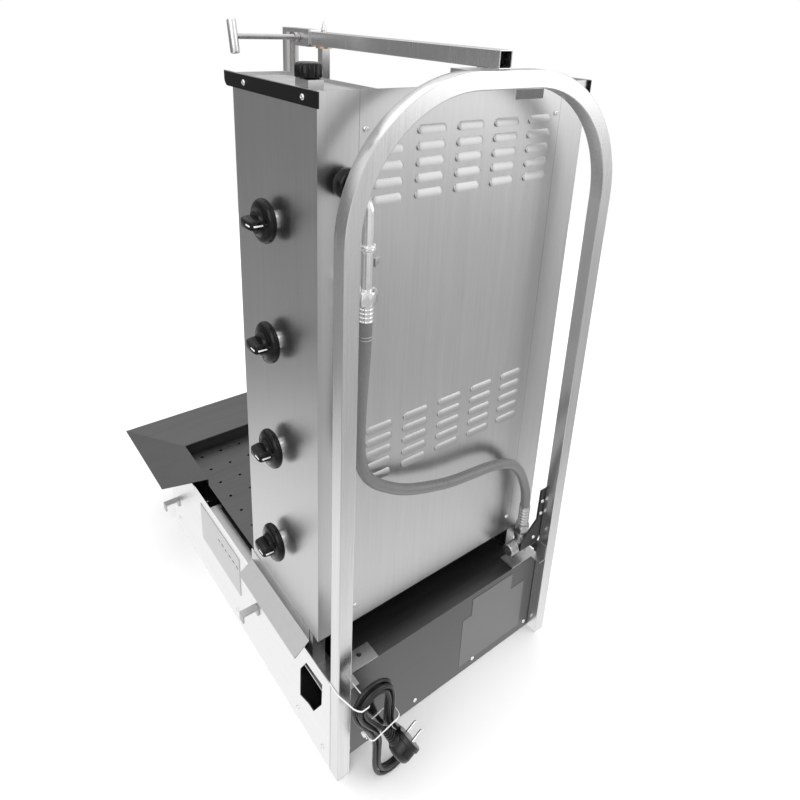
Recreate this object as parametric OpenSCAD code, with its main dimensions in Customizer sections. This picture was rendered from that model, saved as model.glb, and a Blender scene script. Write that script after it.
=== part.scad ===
// Gas doner kebab grill: a bent tube frame, a folded sheet base with drive and drawer,
// and a burner tower that slides on rails towards the spit.
// Rear of the grill towards +Y, spit side towards -Y, knobs on +X, floor at z = 0.

/* [Frame tube] */
// Width of the bent tube frame over both legs
frame_w = 424; // [380:1:480]
// Height of the bent tube frame
frame_h = 946; // [940:1:1000]
// Side of the square tube
tube = 20; // [16:1:25]
// Wall of the square tube
tube_wall = 1.5; // [1:0.1:2.5]
// Outer radius of the two top bends
frame_r = 168; // [120:1:185]

/* [Overall depth] */
// Depth from the rear of the frame to the front edge of the splash wing
overall_depth = 706; // [690:1:760]

/* [Top arm] */
// Distance of the arm's open rear end from the rear of the frame
arm_rear_d = 12; // [4:1:16]
// Distance of the arm's front end from the rear of the frame
arm_front_d = 454; // [440:1:480]
// Outer side of the clamp sleeve on the arm
sleeve = 25; // [24:0.5:30]
// Length of the clamp sleeve
sleeve_l = 46; // [36:1:60]
// Distance of the sleeve's rear end from the rear of the frame
sleeve_d = 410; // [405:1:414]
// Diameter of the round post in front of the sleeve
post_dia = 25; // [18:1:30]
// Length of the round post
post_l = 70; // [50:1:110]
// Diameter of the clamp screw
screw_dia = 8; // [6:0.5:10]
// Reach of the clamp screw beyond the sleeve
screw_l = 106; // [80:1:130]
// Diameter of the T-bar
tbar_dia = 13.5; // [10:0.5:18]
// Length of the T-bar
tbar_l = 48; // [36:1:70]
// Tilt of the T-bar about the screw
tbar_tilt = 12; // [-45:1:45]

/* [Spit] */
// Distance of the spit's axis from the rear of the frame
spit_d = 386; // [375:1:395]
// Side of the square spit
spit_side = 13; // [10:0.5:16]
// Diameter of the pin at the spit's top
pin_dia = 8; // [6:0.5:10]
// Rise of the spit's pointed tip above the frame
tip_rise = 39; // [34:1:64]
// Diameter of the meat plate
plate_dia = 180; // [140:1:210]
// Height of the meat plate's underside
plate_z = 176; // [172:0.5:180]

/* [Base] */
// Height of the side panels
side_h = 166.7; // [164:0.1:170]
// Thickness of the base sheet
base_sheet = 1.5; // [1:0.1:2]
// Height of the deck behind the tray
deck_top = 161.5; // [158:0.5:163]
// Width of the deck plate
deck_w = 310; // [280:1:330]
// Height of the perforated tray's top
tray_top = 145.6; // [142:0.1:150]
// Width of the perforated tray
tray_w = 360; // [340:1:364]
// Thickness of the tray sheet
tray_sheet = 1.5; // [1:0.1:2]
// Hole diameter in the tray
tray_hole = 5.5; // [4:0.5:8]
// Sideways pitch of the tray holes
tray_pitch_x = 39.5; // [30:0.5:50]
// Fore and aft pitch of the tray holes
tray_pitch_y = 45.6; // [36:0.2:56]

/* [Splash wing] */
// Reach of the wing's side edge from the middle
wing_half = 268; // [240:1:290]
// Height of the wing's outer edge
wing_edge_z = 184.5; // [180:0.5:200]
// Height of the wing's inner edge at the front
wing_front_z = 170; // [168:0.5:174]
// Height of the wing's inner edge at its rear end
wing_rear_z = 167; // [166:0.5:172]
// Reach of the wing's front edge past the base
wing_over = 86; // [70:1:110]
// Length of the wing's side sheets behind the front of the base
wing_l = 124; // [100:1:150]
// Thickness of the wing sheet
wing_sheet = 1.2; // [0.8:0.1:2]

/* [Tower] */
// Width of the burner tower
tower_w = 415; // [400:1:420]
// Distance of the tower's rear face from the rear of the frame
tower_rear_d = 58; // [54:1:62]
// Distance of the tower's front face from the rear of the frame
tower_front_d = 251; // [240:1:262]
// Height of the tower's underside
tower_bottom = 202; // [198:0.5:206]
// Drop of the tower's top rim below the top of the frame
rim_drop = 21; // [11:1:46]
// Thickness of the tower sheet
tower_sheet = 1.2; // [0.8:0.1:2]
// Width of each side pillar of the tower
pillar_w = 72.5; // [66:0.5:80]
// Width of the rear cover between the pillars' folds
rear_cover_w = 314.6; // [300:0.1:330]
// Travel of the tower on its rails
tower_travel = 90; // [60:1:100]

/* [Louvres] */
// Length of one louvre slot
louvre_l = 40; // [30:1:50]
// Height of one louvre slot
louvre_h = 9; // [6:0.5:11]
// Upright pitch of the louvre slots
louvre_pitch_z = 18.4; // [16:0.1:22]
// Sideways pitch of the louvre slots
louvre_pitch_x = 59.5; // [50:0.5:64]
// Drop of the upper louvres' lowest row below the rim
louvre_drop = 119; // [110:1:145]
// Height of the lowest louvre row at the bottom
louvre_low_z = 436; // [400:1:450]

/* [Knobs] */
// Drop of the top knob's axis below the rim
knob_drop = 155; // [130:1:170]
// Height of the lowest knob's axis
knob_low_z = 305; // [290:1:320]
// Distance of the knob axes from the rear of the frame
knob_d = 155; // [145:1:160]
// Diameter of the knob's skirt
knob_dia = 57; // [45:1:64]
// Height of the whole knob from skirt to grip
knob_h = 27.5; // [22:0.5:34]
// Length of the knob's grip bar
grip_l = 31; // [24:0.5:40]
// Diameter of the knob's spindle
spindle_dia = 8; // [6:0.5:10]
// Travel of the knob when pressed
knob_push = 3; // [2:0.5:3.5]
// Turn of the knob from off to full
knob_turn = 150; // [90:5:180]

/* [Gas line] */
// Outer diameter of the gas hose
hose_dia = 15; // [12:0.5:18]
// Outer diameter of the gas pipe
pipe_dia = 13; // [10:0.5:16]
// Distance of the gas line from the rear of the frame
gas_d = 34; // [33:0.5:38]
// Thread diameter of the gas connection
thread_dia = 20.95; // [16:0.05:27]

/* [Power cord] */
// Diameter of the power cord
cord_dia = 6; // [5:0.5:6.5]
// Turns of the hank over both layers
hank_turns = 3.4; // [1.4:1:3.4]
// Fold radius of the hank's inner loop
hank_r = 18; // [16:0.5:19]
// Length of the hank's straight runs
hank_run = 128; // [110:1:130]
// Draw of each run towards the hank's middle at the waist
hank_draw = 14; // [0:0.5:14]

/* [Hidden] */

over = 1; // overrun of every cut past its face
fit = 0.3; // gap between parts that move or are laid in place
running = 0.05; // radial clearance of a shaft in its bore
rear_y = overall_depth / 2;
base_front_d = overall_depth - wing_over;
wing_inner_in = 7; // the wing's inner front wall, behind the front of the base
wing_inner_d = base_front_d - wing_inner_in;
wing_rear_d = base_front_d - wing_l;
spit_tip = frame_h + tip_rise;
tower_top = frame_h - rim_drop;
louvre_top_z = tower_top - louvre_drop;
knob_count = 4;
knob_top_z = tower_top - knob_drop;
knob_pitch = (knob_top_z - knob_low_z) / (knob_count - 1);

function at(d) = rear_y - d;
function knob_z(i) = knob_top_z - i * knob_pitch;

// Base values worked out from the driving sizes
base_half = frame_w / 2;
inner_half = base_half - base_sheet;
leg_in = base_half - tube;
base_rear_d = tube;
panel_z = 1.5; // the side panels' bottom folds carry the bottom panel
fold = 10;
rail_top = 131;
rail_in = 176;
rail_sheet = 3;
rail_web = 26;
rail_rear_d = 30;
rail_front_d = 462;
tray_rear_d = 258;
tray_front_d = wing_inner_d - wing_sheet - fit;
tray_low = tray_top - tray_sheet;
ledge_w = 10;
socket_dia = 36;
shaft_hole = 50;

// Outline of the hand hole in each side panel, as shares of its length and height
hole_rear_d = 40;
hole_l = 62;
hole_low_z = 57;
hole_h = 88;
hole_shares = [[0, 1], [0.03, 0.54], [0.38, 0.11], [0.63, 0.1], [1, 0], [0.97, 0.63], [0.69, 0.97]];

// Tower values
tower_half = tower_w / 2;
rear_cover_half = rear_cover_w / 2;
pillar_in = tower_half - pillar_w;
floor_top = tower_bottom + tower_sheet;
trim_h = 16.5;
trim_sheet = 2;
trim_front_over = 19;
trim_rear_over = 4;
trim_front_d = tower_front_d + trim_front_over;
trim_rear_d = tower_rear_d - trim_rear_over;

// Knob values, measured outwards from the control panel
bezel_h = 4;
bezel_dia = 22;
knob_gap = 8;
knob_back = tower_half + knob_gap;

// Gas line values, heights above the floor
pipe_x = 160;
pipe_drop = 110;
pipe_l = 99;
pipe_top_z = tower_top - pipe_drop;
pipe_low_z = pipe_top_z - pipe_l;
nut_h = 14;
nut_dia = 22;
ferrule_h = 24;
ferrule_dia = 18;
hose_top_z = pipe_low_z - nut_h - ferrule_h;
hose_low_z = 266;
inlet_x = -163;

// Route of the gas hose: across and up, at one distance behind the tower, stretched between its two fittings
hose_drawn_low = 266;
hose_drawn_high = 678;
hose_route = [[160, 678], [160, 660], [161, 630], [163, 594], [165, 550], [165, 515],
    [162, 490], [154, 468], [140, 450], [120, 434], [98, 420], [73, 409], [45, 400], [10, 391],
    [-30, 386], [-60, 383], [-86, 378], [-108, 370], [-126, 357], [-141, 338], [-152, 316],
    [-160, 292], [-163, 266]];

function unit(v) = v / norm(v);

module box(x0, x1, y0, y1, z0, z1) {
    translate([min(x0, x1), min(y0, y1), min(z0, z1)])
        cube([abs(x1 - x0), abs(y1 - y0), abs(z1 - z0)]);
}

module both_sides() {
    children();
    mirror([1, 0, 0]) children();
}

// Sweeps a round tube of n sides along points; ref is a direction never parallel to the route
function tangent(p, i) = unit(p[min(i + 1, len(p) - 1)] - p[max(i - 1, 0)]);
function ring(c, t, ref, r, n) =
    let (a = unit(cross(ref, t)), b = cross(t, a))
    [for (k = [0 : n - 1]) c + r * cos(360 * k / n) * a + r * sin(360 * k / n) * b];
function tube_faces(m, n) = concat(
    [for (i = [0 : m - 2]) for (k = [0 : n - 1]) [i * n + k, (i + 1) * n + (k + 1) % n, i * n
        + (k + 1) % n]],
    [for (i = [0 : m - 2]) for (k = [0 : n - 1]) [i * n + k, (i + 1) * n + k, (i + 1) * n + (k + 1) % n]],
    [for (k = [1 : n - 2]) [0, k, k + 1]],
    [for (k = [1 : n - 2]) [(m - 1) * n, (m - 1) * n + k + 1, (m - 1) * n + k]]);

module swept_tube(p, dia, n, ref, first, last) {
    m = len(p);
    rings = [for (i = [0 : m - 1])
        ring(p[i], i == 0 ? first : i == m - 1 ? last : tangent(p, i), ref, dia / 2, n)];
    polyhedron(points = [for (r = rings) each r], faces = tube_faces(m, n));
}

// Frame tube: two legs, two bends and the straight top, all one bent tube
module tube_profile() {
    difference() {
        square(tube);
        translate([tube_wall, tube_wall]) square(tube - 2 * tube_wall);
    }
}

module frame_tube() {
    straight_x = base_half - frame_r;
    bend_z = frame_h - frame_r;
    color([0.75, 0.75, 0.76]) translate([0, rear_y, 0]) {
        both_sides() translate([leg_in, -tube, 0]) linear_extrude(bend_z) tube_profile();
        both_sides() translate([straight_x, 0, bend_z]) rotate([90, 0, 0])
            rotate_extrude(angle = 90, $fn = 96) translate([frame_r - tube, 0]) tube_profile();
        translate([-straight_x, -tube, frame_h - tube]) rotate([90, 0, 90])
            linear_extrude(2 * straight_x) tube_profile();
    }
}

// Top arm with the round holes that the spit's pin and its bush go through
bush_wall = 3;
bush_rim = 5;
bush_dia = pin_dia + 2 * bush_wall;
bush_flange = bush_dia + 2 * bush_rim;
bush_h = 3;
arm_top = frame_h + tube;

module top_arm() {
    color([0.72, 0.72, 0.73]) difference() {
        translate([-tube / 2, at(arm_rear_d), frame_h]) rotate([90, 0, 0])
            linear_extrude(arm_front_d - arm_rear_d) tube_profile();
        translate([0, at(spit_d), frame_h - over]) cylinder(d = bush_dia, h = tube + 2 * over, $fn = 48);
    }
}

module spit_bearing() {
    color([0.70, 0.58, 0.32]) translate([0, at(spit_d), frame_h - bush_h]) difference() {
        union() {
            cylinder(d = bush_flange, h = bush_h, $fn = 48);
            cylinder(d = bush_dia, h = tube + bush_h, $fn = 48);
        }
        translate([0, 0, -over]) cylinder(r = pin_dia / 2 + running, h = tube + bush_h + 2 * over,
            $fn = 48);
    }
}

// Clamp sleeve that slides on the arm, with the round post in front of it
cap_t = 6;
post_gap = 19.5;
post_d = sleeve_d + sleeve_l + post_gap + post_dia / 2;
post_low = arm_top - post_l;
sleeve_mid = frame_h + tube / 2;
screw_in = 14; // the screw's axis, behind the sleeve's front end
screw_d = sleeve_d + sleeve_l - screw_in;

module arm_carriage() {
    lip = (sleeve - tube) / 2;
    top = arm_top + lip;
    color([0.82, 0.82, 0.82]) difference() {
        union() {
            box(-sleeve / 2, sleeve / 2, at(sleeve_d), at(sleeve_d + sleeve_l), frame_h - lip, top);
            box(-sleeve / 2, sleeve / 2, at(sleeve_d + sleeve_l), at(post_d), top - cap_t, top);
            translate([0, at(post_d), top - cap_t]) cylinder(d = post_dia, h = cap_t, $fn = 64);
        }
        box(-tube / 2 - running, tube / 2 + running, at(sleeve_d - over), at(arm_front_d + fit),
            frame_h - running, arm_top + running);
        translate([0, at(screw_d), sleeve_mid]) rotate([0, 90, 0])
            cylinder(r = screw_dia / 2 + running, h = sleeve, $fn = 48);
    }
    color([0.30, 0.30, 0.31]) translate([0, at(post_d), post_low])
        cylinder(d = post_dia, h = top - cap_t - post_low, $fn = 64);
    color([0.80, 0.80, 0.80]) translate([0, at(post_d), post_low - cap_t])
        cylinder(d = post_dia, h = cap_t, $fn = 64);
}

// Clamp screw with its dark collar nut, and the T-bar across its outer end
tbar_x = sleeve / 2 + screw_l;
collar_t = 7;
collar_dia = 14;

module clamp_screw() {
    start = tube / 2 + fit;
    color([0.62, 0.62, 0.63]) translate([0, at(screw_d), sleeve_mid]) difference() {
        rotate([0, 90, 0]) union() {
            translate([0, 0, start]) cylinder(d = screw_dia, h = tbar_x - start, $fn = 48);
            translate([0, 0, sleeve / 2 + fit]) cylinder(d = collar_dia, h = collar_t, $fn = 48);
        }
        translate([tbar_x, 0, 0]) rotate([tbar_tilt, 0, 0])
            translate([0, 0, -screw_dia]) cylinder(d = tbar_dia, h = 2 * screw_dia, $fn = 48);
    }
}

module t_bar() {
    bevel = 1.5;
    r = tbar_dia / 2;
    half = tbar_l / 2;
    color([0.66, 0.66, 0.67]) translate([tbar_x, at(screw_d), sleeve_mid]) rotate([tbar_tilt, 0, 0])
        rotate_extrude($fn = 48) polygon([[0, -half], [r - bevel, -half], [r, bevel - half],
            [r, half - bevel], [r - bevel, half], [0, half]]);
}

// Spit: square bar, round pin through the arm's bush, pointed tip
spit_foot = 30;

module spit() {
    shoulder = frame_h - bush_h - fit;
    foot = plate_z - spit_foot;
    point_h = 16;
    color([0.55, 0.55, 0.56]) translate([0, at(spit_d), 0]) {
        translate([-spit_side / 2, -spit_side / 2, foot]) cube([spit_side, spit_side, shoulder - foot]);
        translate([0, 0, shoulder]) cylinder(d = pin_dia, h = spit_tip - point_h - shoulder, $fn = 48);
        translate([0, 0, spit_tip - point_h]) cylinder(d1 = pin_dia, d2 = 0, h = point_h, $fn = 48);
    }
}

module square_hole(z0, z1) {
    side = spit_side + 2 * fit;
    translate([-side / 2, -side / 2, z0]) cube([side, side, z1 - z0]);
}

meat_plate_t = 4;

module meat_plate() {
    color([0.78, 0.78, 0.79]) translate([0, at(spit_d), 0]) difference() {
        translate([0, 0, plate_z]) cylinder(d = plate_dia, h = meat_plate_t, $fn = 96);
        square_hole(plate_z - over, plate_z + meat_plate_t + over);
    }
}

// Drive socket under the plate, and the gear motor that its shaft turns in
motor_w = 92;
motor_l = 84;
motor_top = 92;
gear_top = 124;
gear_dia = 62;
shaft_dia = 12;
shaft_l = 30;

module drive_socket() {
    socket_low = gear_top + fit;
    color([0.60, 0.60, 0.62]) translate([0, at(spit_d), 0]) difference() {
        union() {
            translate([0, 0, socket_low]) cylinder(d = socket_dia, h = plate_z - socket_low, $fn = 64);
            translate([0, 0, gear_top - shaft_l]) cylinder(d = shaft_dia, h = shaft_l + over, $fn = 48);
        }
        square_hole(plate_z - spit_foot - fit, plate_z + over);
    }
}

module gear_motor() {
    shaft_gap = 0.5;
    motor_low = panel_z + base_sheet;
    color([0.35, 0.36, 0.38]) translate([0, at(spit_d), 0]) difference() {
        union() {
            translate([-motor_w / 2, -motor_l / 2, motor_low])
                cube([motor_w, motor_l, motor_top - motor_low]);
            translate([0, 0, motor_top]) cylinder(d = gear_dia, h = gear_top - motor_top, $fn = 64);
        }
        translate([0, 0, gear_top - shaft_l - shaft_gap])
            cylinder(r = shaft_dia / 2 + running, h = shaft_l + shaft_gap + over, $fn = 48);
    }
}

// Base sheets. Each side panel has a bottom fold and a hand hole behind the leg
module side_panel() {
    difference() {
        union() {
            box(inner_half, base_half, at(base_rear_d), at(base_front_d), 0, side_h);
            box(inner_half - fold, inner_half, at(base_rear_d + base_sheet), at(base_front_d - base_sheet),
                0, panel_z);
        }
        translate([inner_half - over, at(hole_rear_d), hole_low_z]) rotate([90, 0, 90])
            linear_extrude(base_sheet + 2 * over) polygon([for (p = hole_shares) [-p[0] * hole_l, p[1]
                * hole_h]]);
    }
}

module side_panel_right() {
    color([0.80, 0.80, 0.81]) side_panel();
}

module side_panel_left() {
    color([0.80, 0.80, 0.81]) mirror([1, 0, 0]) side_panel();
}

gland_x = 149;
gland_z = 80;
gland_dia = 16;

module rear_panel() {
    color([0.45, 0.45, 0.46]) difference() {
        box(-inner_half, inner_half, at(base_rear_d), at(base_rear_d + base_sheet), panel_z, deck_top
            - base_sheet);
        translate([gland_x, at(base_rear_d - over), gland_z]) rotate([90, 0, 0])
            cylinder(d = gland_dia, h = base_sheet + 2 * over, $fn = 48);
    }
}

// Front panel with the drawer's opening and the switch's cut-out
drawer_w = 290;
drawer_low = 8.3;
drawer_top = 108;
drawer_gap = 2;
switch_x = 180;
switch_z = 96;
switch_w = 22;
switch_h = 30;

// Height of the splash wing's front sheet over a place d in front of the frame's rear
function front_sheet_z(d) =
    wing_front_z + (wing_edge_z - wing_front_z) * (d - wing_inner_d) / (overall_depth - wing_inner_d);

module front_panel() {
    front_top = front_sheet_z(base_front_d - base_sheet) - wing_sheet - fit;
    color([0.80, 0.80, 0.81]) difference() {
        box(-inner_half, inner_half, at(base_front_d - base_sheet), at(base_front_d), panel_z, front_top);
        box(-drawer_w / 2 - drawer_gap, drawer_w / 2 + drawer_gap, at(base_front_d - base_sheet - over),
            at(base_front_d + over), drawer_low - fit, drawer_top + drawer_gap);
        box(switch_x - switch_w / 2, switch_x + switch_w / 2, at(base_front_d - base_sheet - over),
            at(base_front_d + over), switch_z - switch_h / 2, switch_z + switch_h / 2);
    }
}

// Bottom sheet with the two beads that the drawer runs on
bead_w = 12;
bead_inset = 30;
bead_rear_d = 450;

module bottom_panel() {
    bead_x = drawer_w / 2 - bead_inset;
    top = panel_z + base_sheet;
    color([0.60, 0.60, 0.61]) {
        box(-inner_half, inner_half, at(base_rear_d + base_sheet), at(base_front_d - base_sheet), panel_z,
            top);
        both_sides() box(bead_x, bead_x + bead_w, at(bead_rear_d), at(base_front_d - base_sheet), top,
            drawer_low - fit);
    }
}

// Deck behind the tray, with folded edges and the ledge that carries the tray
deck_gap = 6;
deck_front_d = tray_rear_d - deck_gap;
deck_fold = 16;

module deck_plate() {
    half = deck_w / 2;
    color([0.50, 0.50, 0.51]) {
        box(-half, half, at(base_rear_d), at(deck_front_d), deck_top - base_sheet, deck_top);
        both_sides() box(half - base_sheet, half, at(base_rear_d + base_sheet), at(deck_front_d),
            deck_top - deck_fold, deck_top - base_sheet);
        box(-half + base_sheet, half - base_sheet, at(deck_front_d - base_sheet), at(deck_front_d),
            tray_low - base_sheet, deck_top - base_sheet);
        box(-half + base_sheet, half - base_sheet, at(deck_front_d), at(tray_rear_d + ledge_w),
            tray_low - base_sheet, tray_low);
    }
}

// Two rails in the side channels that the tower's shoes run on
module slide_rails() {
    color([0.66, 0.66, 0.67]) both_sides() {
        box(rail_in, inner_half, at(rail_rear_d), at(rail_front_d), rail_top - rail_sheet, rail_top);
        box(rail_in, rail_in + rail_sheet, at(rail_rear_d), at(rail_front_d), rail_top - rail_web,
            rail_top - rail_sheet);
    }
}

// Drip pan between the rails, under the tray
pan_bearing = 5;
pan_rear_d = 262;
pan_front_d = 450;

module drip_pan() {
    half = rail_in + pan_bearing;
    color([0.62, 0.62, 0.63]) difference() {
        box(-half, half, at(pan_rear_d), at(pan_front_d), rail_top, rail_top + wing_sheet);
        translate([0, at(spit_d), rail_top - over])
            cylinder(d = shaft_hole, h = wing_sheet + 2 * over, $fn = 64);
    }
}

// Perforated tray
hole_edge = 12;
first_row = 20;

module perforated_tray() {
    rows = floor((tray_front_d - tray_rear_d - hole_edge) / tray_pitch_y);
    cols = floor((tray_w / 2 - hole_edge) / tray_pitch_x);
    color([0.40, 0.40, 0.41]) difference() {
        box(-tray_w / 2, tray_w / 2, at(tray_rear_d), at(tray_front_d), tray_low, tray_top);
        translate([0, at(spit_d), tray_low - over])
            cylinder(d = shaft_hole, h = tray_sheet + 2 * over, $fn = 64);
        for (j = [0 : rows]) for (i = [-cols : cols]) {
            d = tray_front_d - first_row - j * tray_pitch_y;
            if (norm([i * tray_pitch_x, d - spit_d]) > shaft_hole / 2 + tray_hole && d > tray_rear_d
                + ledge_w)
                translate([i * tray_pitch_x, at(d), tray_low - over])
                    cylinder(d = tray_hole, h = tray_sheet + 2 * over, $fn = 24);
        }
    }
}

// Splash wing: an upright wall round the tray's front, and sloped sheets out to the edge
wing_gap = 4;
wing_front_half = tray_w / 2 + wing_gap;
wing_tab_h = 18;
wing_tab_inset = 14;

module sloped_sheet(p) {
    // Four corners in order; the sheet hangs its own thickness below them
    low = [for (q = p) q - [0, 0, wing_sheet]];
    polyhedron(points = concat(p, low), faces = [[0, 1, 2], [0, 2, 3], [4, 6, 5], [4, 7, 6],
        [0, 5, 1], [0, 4, 5], [1, 6, 2], [1, 5, 6], [2, 7, 3], [2, 6, 7], [3, 4, 0], [3, 7, 4]]);
}

module splash_wing() {
    inner_front = [wing_front_half, at(wing_inner_d), wing_front_z];
    outer_front = [wing_half, at(overall_depth), wing_edge_z];
    outer_rear = [wing_half, at(wing_rear_d), wing_edge_z];
    inner_rear = [wing_front_half, at(wing_rear_d), wing_rear_z];
    wall_low = tray_low - base_sheet;
    rise = (wing_edge_z - wing_rear_z) / (wing_half - wing_front_half);
    tab_top = wing_rear_z + (inner_half - wing_front_half) * rise - wing_sheet / 2;
    color([0.42, 0.42, 0.43]) {
        sloped_sheet([[-wing_front_half, at(wing_inner_d), wing_front_z], inner_front, outer_front,
            [-wing_half, at(overall_depth), wing_edge_z]]);
        both_sides() sloped_sheet([inner_front, inner_rear, outer_rear, outer_front]);
        box(-wing_front_half, wing_front_half, at(wing_inner_d - wing_sheet), at(wing_inner_d),
            wall_low, wing_front_z - wing_sheet / 2);
        box(-wing_front_half, wing_front_half, at(wing_inner_d - wing_sheet - ledge_w),
            at(wing_inner_d - wing_sheet),
            wall_low, tray_low);
        both_sides() translate([wing_front_half - wing_sheet, 0, 0]) rotate([90, 0, 90])
            linear_extrude(wing_sheet)
            polygon([[at(wing_rear_d), tray_low], [at(wing_inner_d - wing_sheet), tray_low],
                [at(wing_inner_d - wing_sheet), wing_front_z - wing_sheet / 2],
                [at(wing_rear_d), wing_rear_z - wing_sheet / 2]]);
        both_sides() box(inner_half - wing_sheet, inner_half, at(wing_rear_d + wing_tab_inset),
            at(wing_inner_d - wing_tab_inset), side_h - wing_tab_h, tab_top);
    }
}

// Slotted cover on the knob side of the base
cover_d = 300;
cover_l = 162;
cover_low = 72;
cover_h = 78;
cover_slot_l = 9;
cover_slot_h = 3.5;
cover_slot_pitch = 14.5;
cover_slot_d = 4;
cover_slot_drop = 21;
cover_slots = 6;

module access_cover() {
    slot_top = cover_low + cover_h - cover_slot_drop;
    color([0.83, 0.83, 0.84]) difference() {
        box(base_half, base_half + wing_sheet, at(cover_d), at(cover_d + cover_l), cover_low, cover_low
            + cover_h);
        for (i = [0 : cover_slots - 1]) {
            d = cover_d + cover_slot_d + i * cover_slot_pitch;
            box(base_half - over, base_half + wing_sheet + over, at(d), at(d + cover_slot_l),
                slot_top, slot_top - cover_slot_h);
        }
    }
}

// Angle lugs that stand out from both sides of the base
lug_w = 13;
lug_reach = 28;
lug_t = 3;
lug_drop = 15;
lug_rear = [231, 107];
lug_front_in = 36;
lug_front = [base_front_d - lug_front_in, 70];

module side_lugs() {
    color([0.58, 0.58, 0.59]) both_sides() for (p = [lug_rear, lug_front])
        translate([base_half, at(p[0]), p[1]]) {
        box(0, lug_reach, 0, -lug_w, -lug_t, 0);
        box(lug_reach - lug_t, lug_reach, 0, -lug_w, -lug_drop, -lug_t);
        box(0, lug_t, 0, -lug_w, -lug_drop, -lug_t);
    }
}

// Plates that tie the frame's legs to the deck, and the plate that carries the gas elbow
plate_t = 1.5;
tie_plate_in = 134;
tie_plate_l = 27;
tie_upstand = 28;
tie_flange = 14;
tie_rear_d = 2;
tie_hole = 7;
tie_hole_in = 21;
tie_hole_front = 17;
elbow_plate_t = 3;
elbow_plate_w = 52;
elbow_plate_h = 104;
elbow_plate_low = 189;
elbow_plate_bearing = 8;
elbow_plate_shares = [[0, 0.2], [0.26, 0], [1, 0], [1, 0.14], [0.58, 0.36], [0.36, 0.46], [0.34, 1],
    [0, 1]];

module frame_brackets() {
    color([0.68, 0.68, 0.69]) both_sides() difference() {
        union() {
            box(tie_plate_in, leg_in, at(base_rear_d), at(base_rear_d + tie_plate_l), deck_top, deck_top
                + plate_t);
            box(leg_in - tie_flange, leg_in, at(tie_rear_d), at(base_rear_d), deck_top, deck_top + plate_t);
            box(leg_in - plate_t, leg_in, at(tie_rear_d), at(base_rear_d), deck_top, deck_top
                + tie_upstand);
        }
        translate([tie_plate_in + tie_hole_in, at(base_rear_d + tie_hole_front), deck_top - over])
            cylinder(d = tie_hole, h = plate_t + 2 * over, $fn = 24);
    }
    color([0.25, 0.25, 0.26]) translate([-leg_in - elbow_plate_bearing, at(tube), elbow_plate_low])
        rotate([90, 0, 0])
        linear_extrude(elbow_plate_t) polygon([for (p = elbow_plate_shares) [p[0] * elbow_plate_w, p[1]
            * elbow_plate_h]]);
}

// Grease drawer that slides out of the front panel
drawer_rear_gap = 30.3; // from the motor to the drawer
drawer_sheet = 1.2;
drawer_lip = 8;
drawer_side_gap = 1;
pull_w = 96;
pull_reach = 20;
pull_t = 3;
pull_h = 6;
pull_z = 82;

module grease_drawer() {
    half = drawer_w / 2 - drawer_side_gap;
    front = base_front_d + fit;
    face = front + base_sheet;
    drawer_l = front - (spit_d + motor_l / 2 + drawer_rear_gap);
    color([0.80, 0.80, 0.81]) {
        difference() {
            box(-half, half, at(front - drawer_l), at(front), drawer_low, drawer_top);
            box(-half + drawer_sheet, half - drawer_sheet, at(front - drawer_l + drawer_sheet),
                at(front - drawer_sheet), drawer_low + drawer_sheet, drawer_top + over);
        }
        box(-half - drawer_lip, half + drawer_lip, at(front), at(face), drawer_low, drawer_top
            + drawer_lip);
        both_sides() box(pull_w / 2 - pull_t, pull_w / 2, at(face), at(face + pull_reach), pull_z, pull_z
            + pull_h);
        box(-pull_w / 2 + pull_t, pull_w / 2 - pull_t, at(face + pull_reach - pull_t),
            at(face + pull_reach),
            pull_z, pull_z + pull_h);
    }
}

// Rocker switch beside the drawer, in its own housing
rocker_pin = 3;
rocker_axis_in = 6;
rocker_axis_d = base_front_d - rocker_axis_in;
switch_wall = 2;
switch_deep = 22;
switch_bezel = 2.5;
switch_bezel_t = 2;
rocker_gap = 2.5;
rocker_deep = 9.5;
rocker_shares = [[-1, 0.63], [0, 0.8], [1, 1], [1, 0.42], [0, -0.42], [-1, 0.21]];

module switch_housing() {
    half_w = switch_w / 2;
    half_h = switch_h / 2;
    color([0.10, 0.10, 0.10]) translate([switch_x, 0, switch_z]) difference() {
        union() {
            box(-half_w, half_w, at(base_front_d - switch_deep), at(base_front_d), -half_h, half_h);
            box(-half_w - switch_bezel, half_w + switch_bezel, at(base_front_d),
                at(base_front_d + switch_bezel_t),
                -half_h - switch_bezel, half_h + switch_bezel);
        }
        box(-half_w + switch_wall, half_w - switch_wall, at(base_front_d - switch_deep + switch_wall),
            at(base_front_d + switch_bezel_t + over), -half_h + switch_wall, half_h - switch_wall);
        translate([-half_w + switch_wall / 2, at(rocker_axis_d), 0]) rotate([0, 90, 0])
            cylinder(r = rocker_pin / 2 + running, h = switch_w - switch_wall, $fn = 32);
    }
}

module switch_rocker() {
    half_w = switch_w / 2 - switch_wall - fit;
    half_h = switch_h / 2 - switch_wall - rocker_gap;
    color([0.16, 0.16, 0.17]) translate([switch_x, at(rocker_axis_d), switch_z]) rotate([0, 90, 0]) {
        translate([0, 0, -half_w]) linear_extrude(2 * half_w)
            polygon([for (p = rocker_shares) [p[0] * half_h, -p[1] * rocker_deep]]);
        translate([0, 0, -half_w - switch_wall / 2])
            cylinder(d = rocker_pin, h = 2 * half_w + switch_wall, $fn = 32);
    }
}

// Tower side pillars: outer side, rear and front returns and the inner wall, folded from one sheet
burner_tube = 12;

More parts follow.
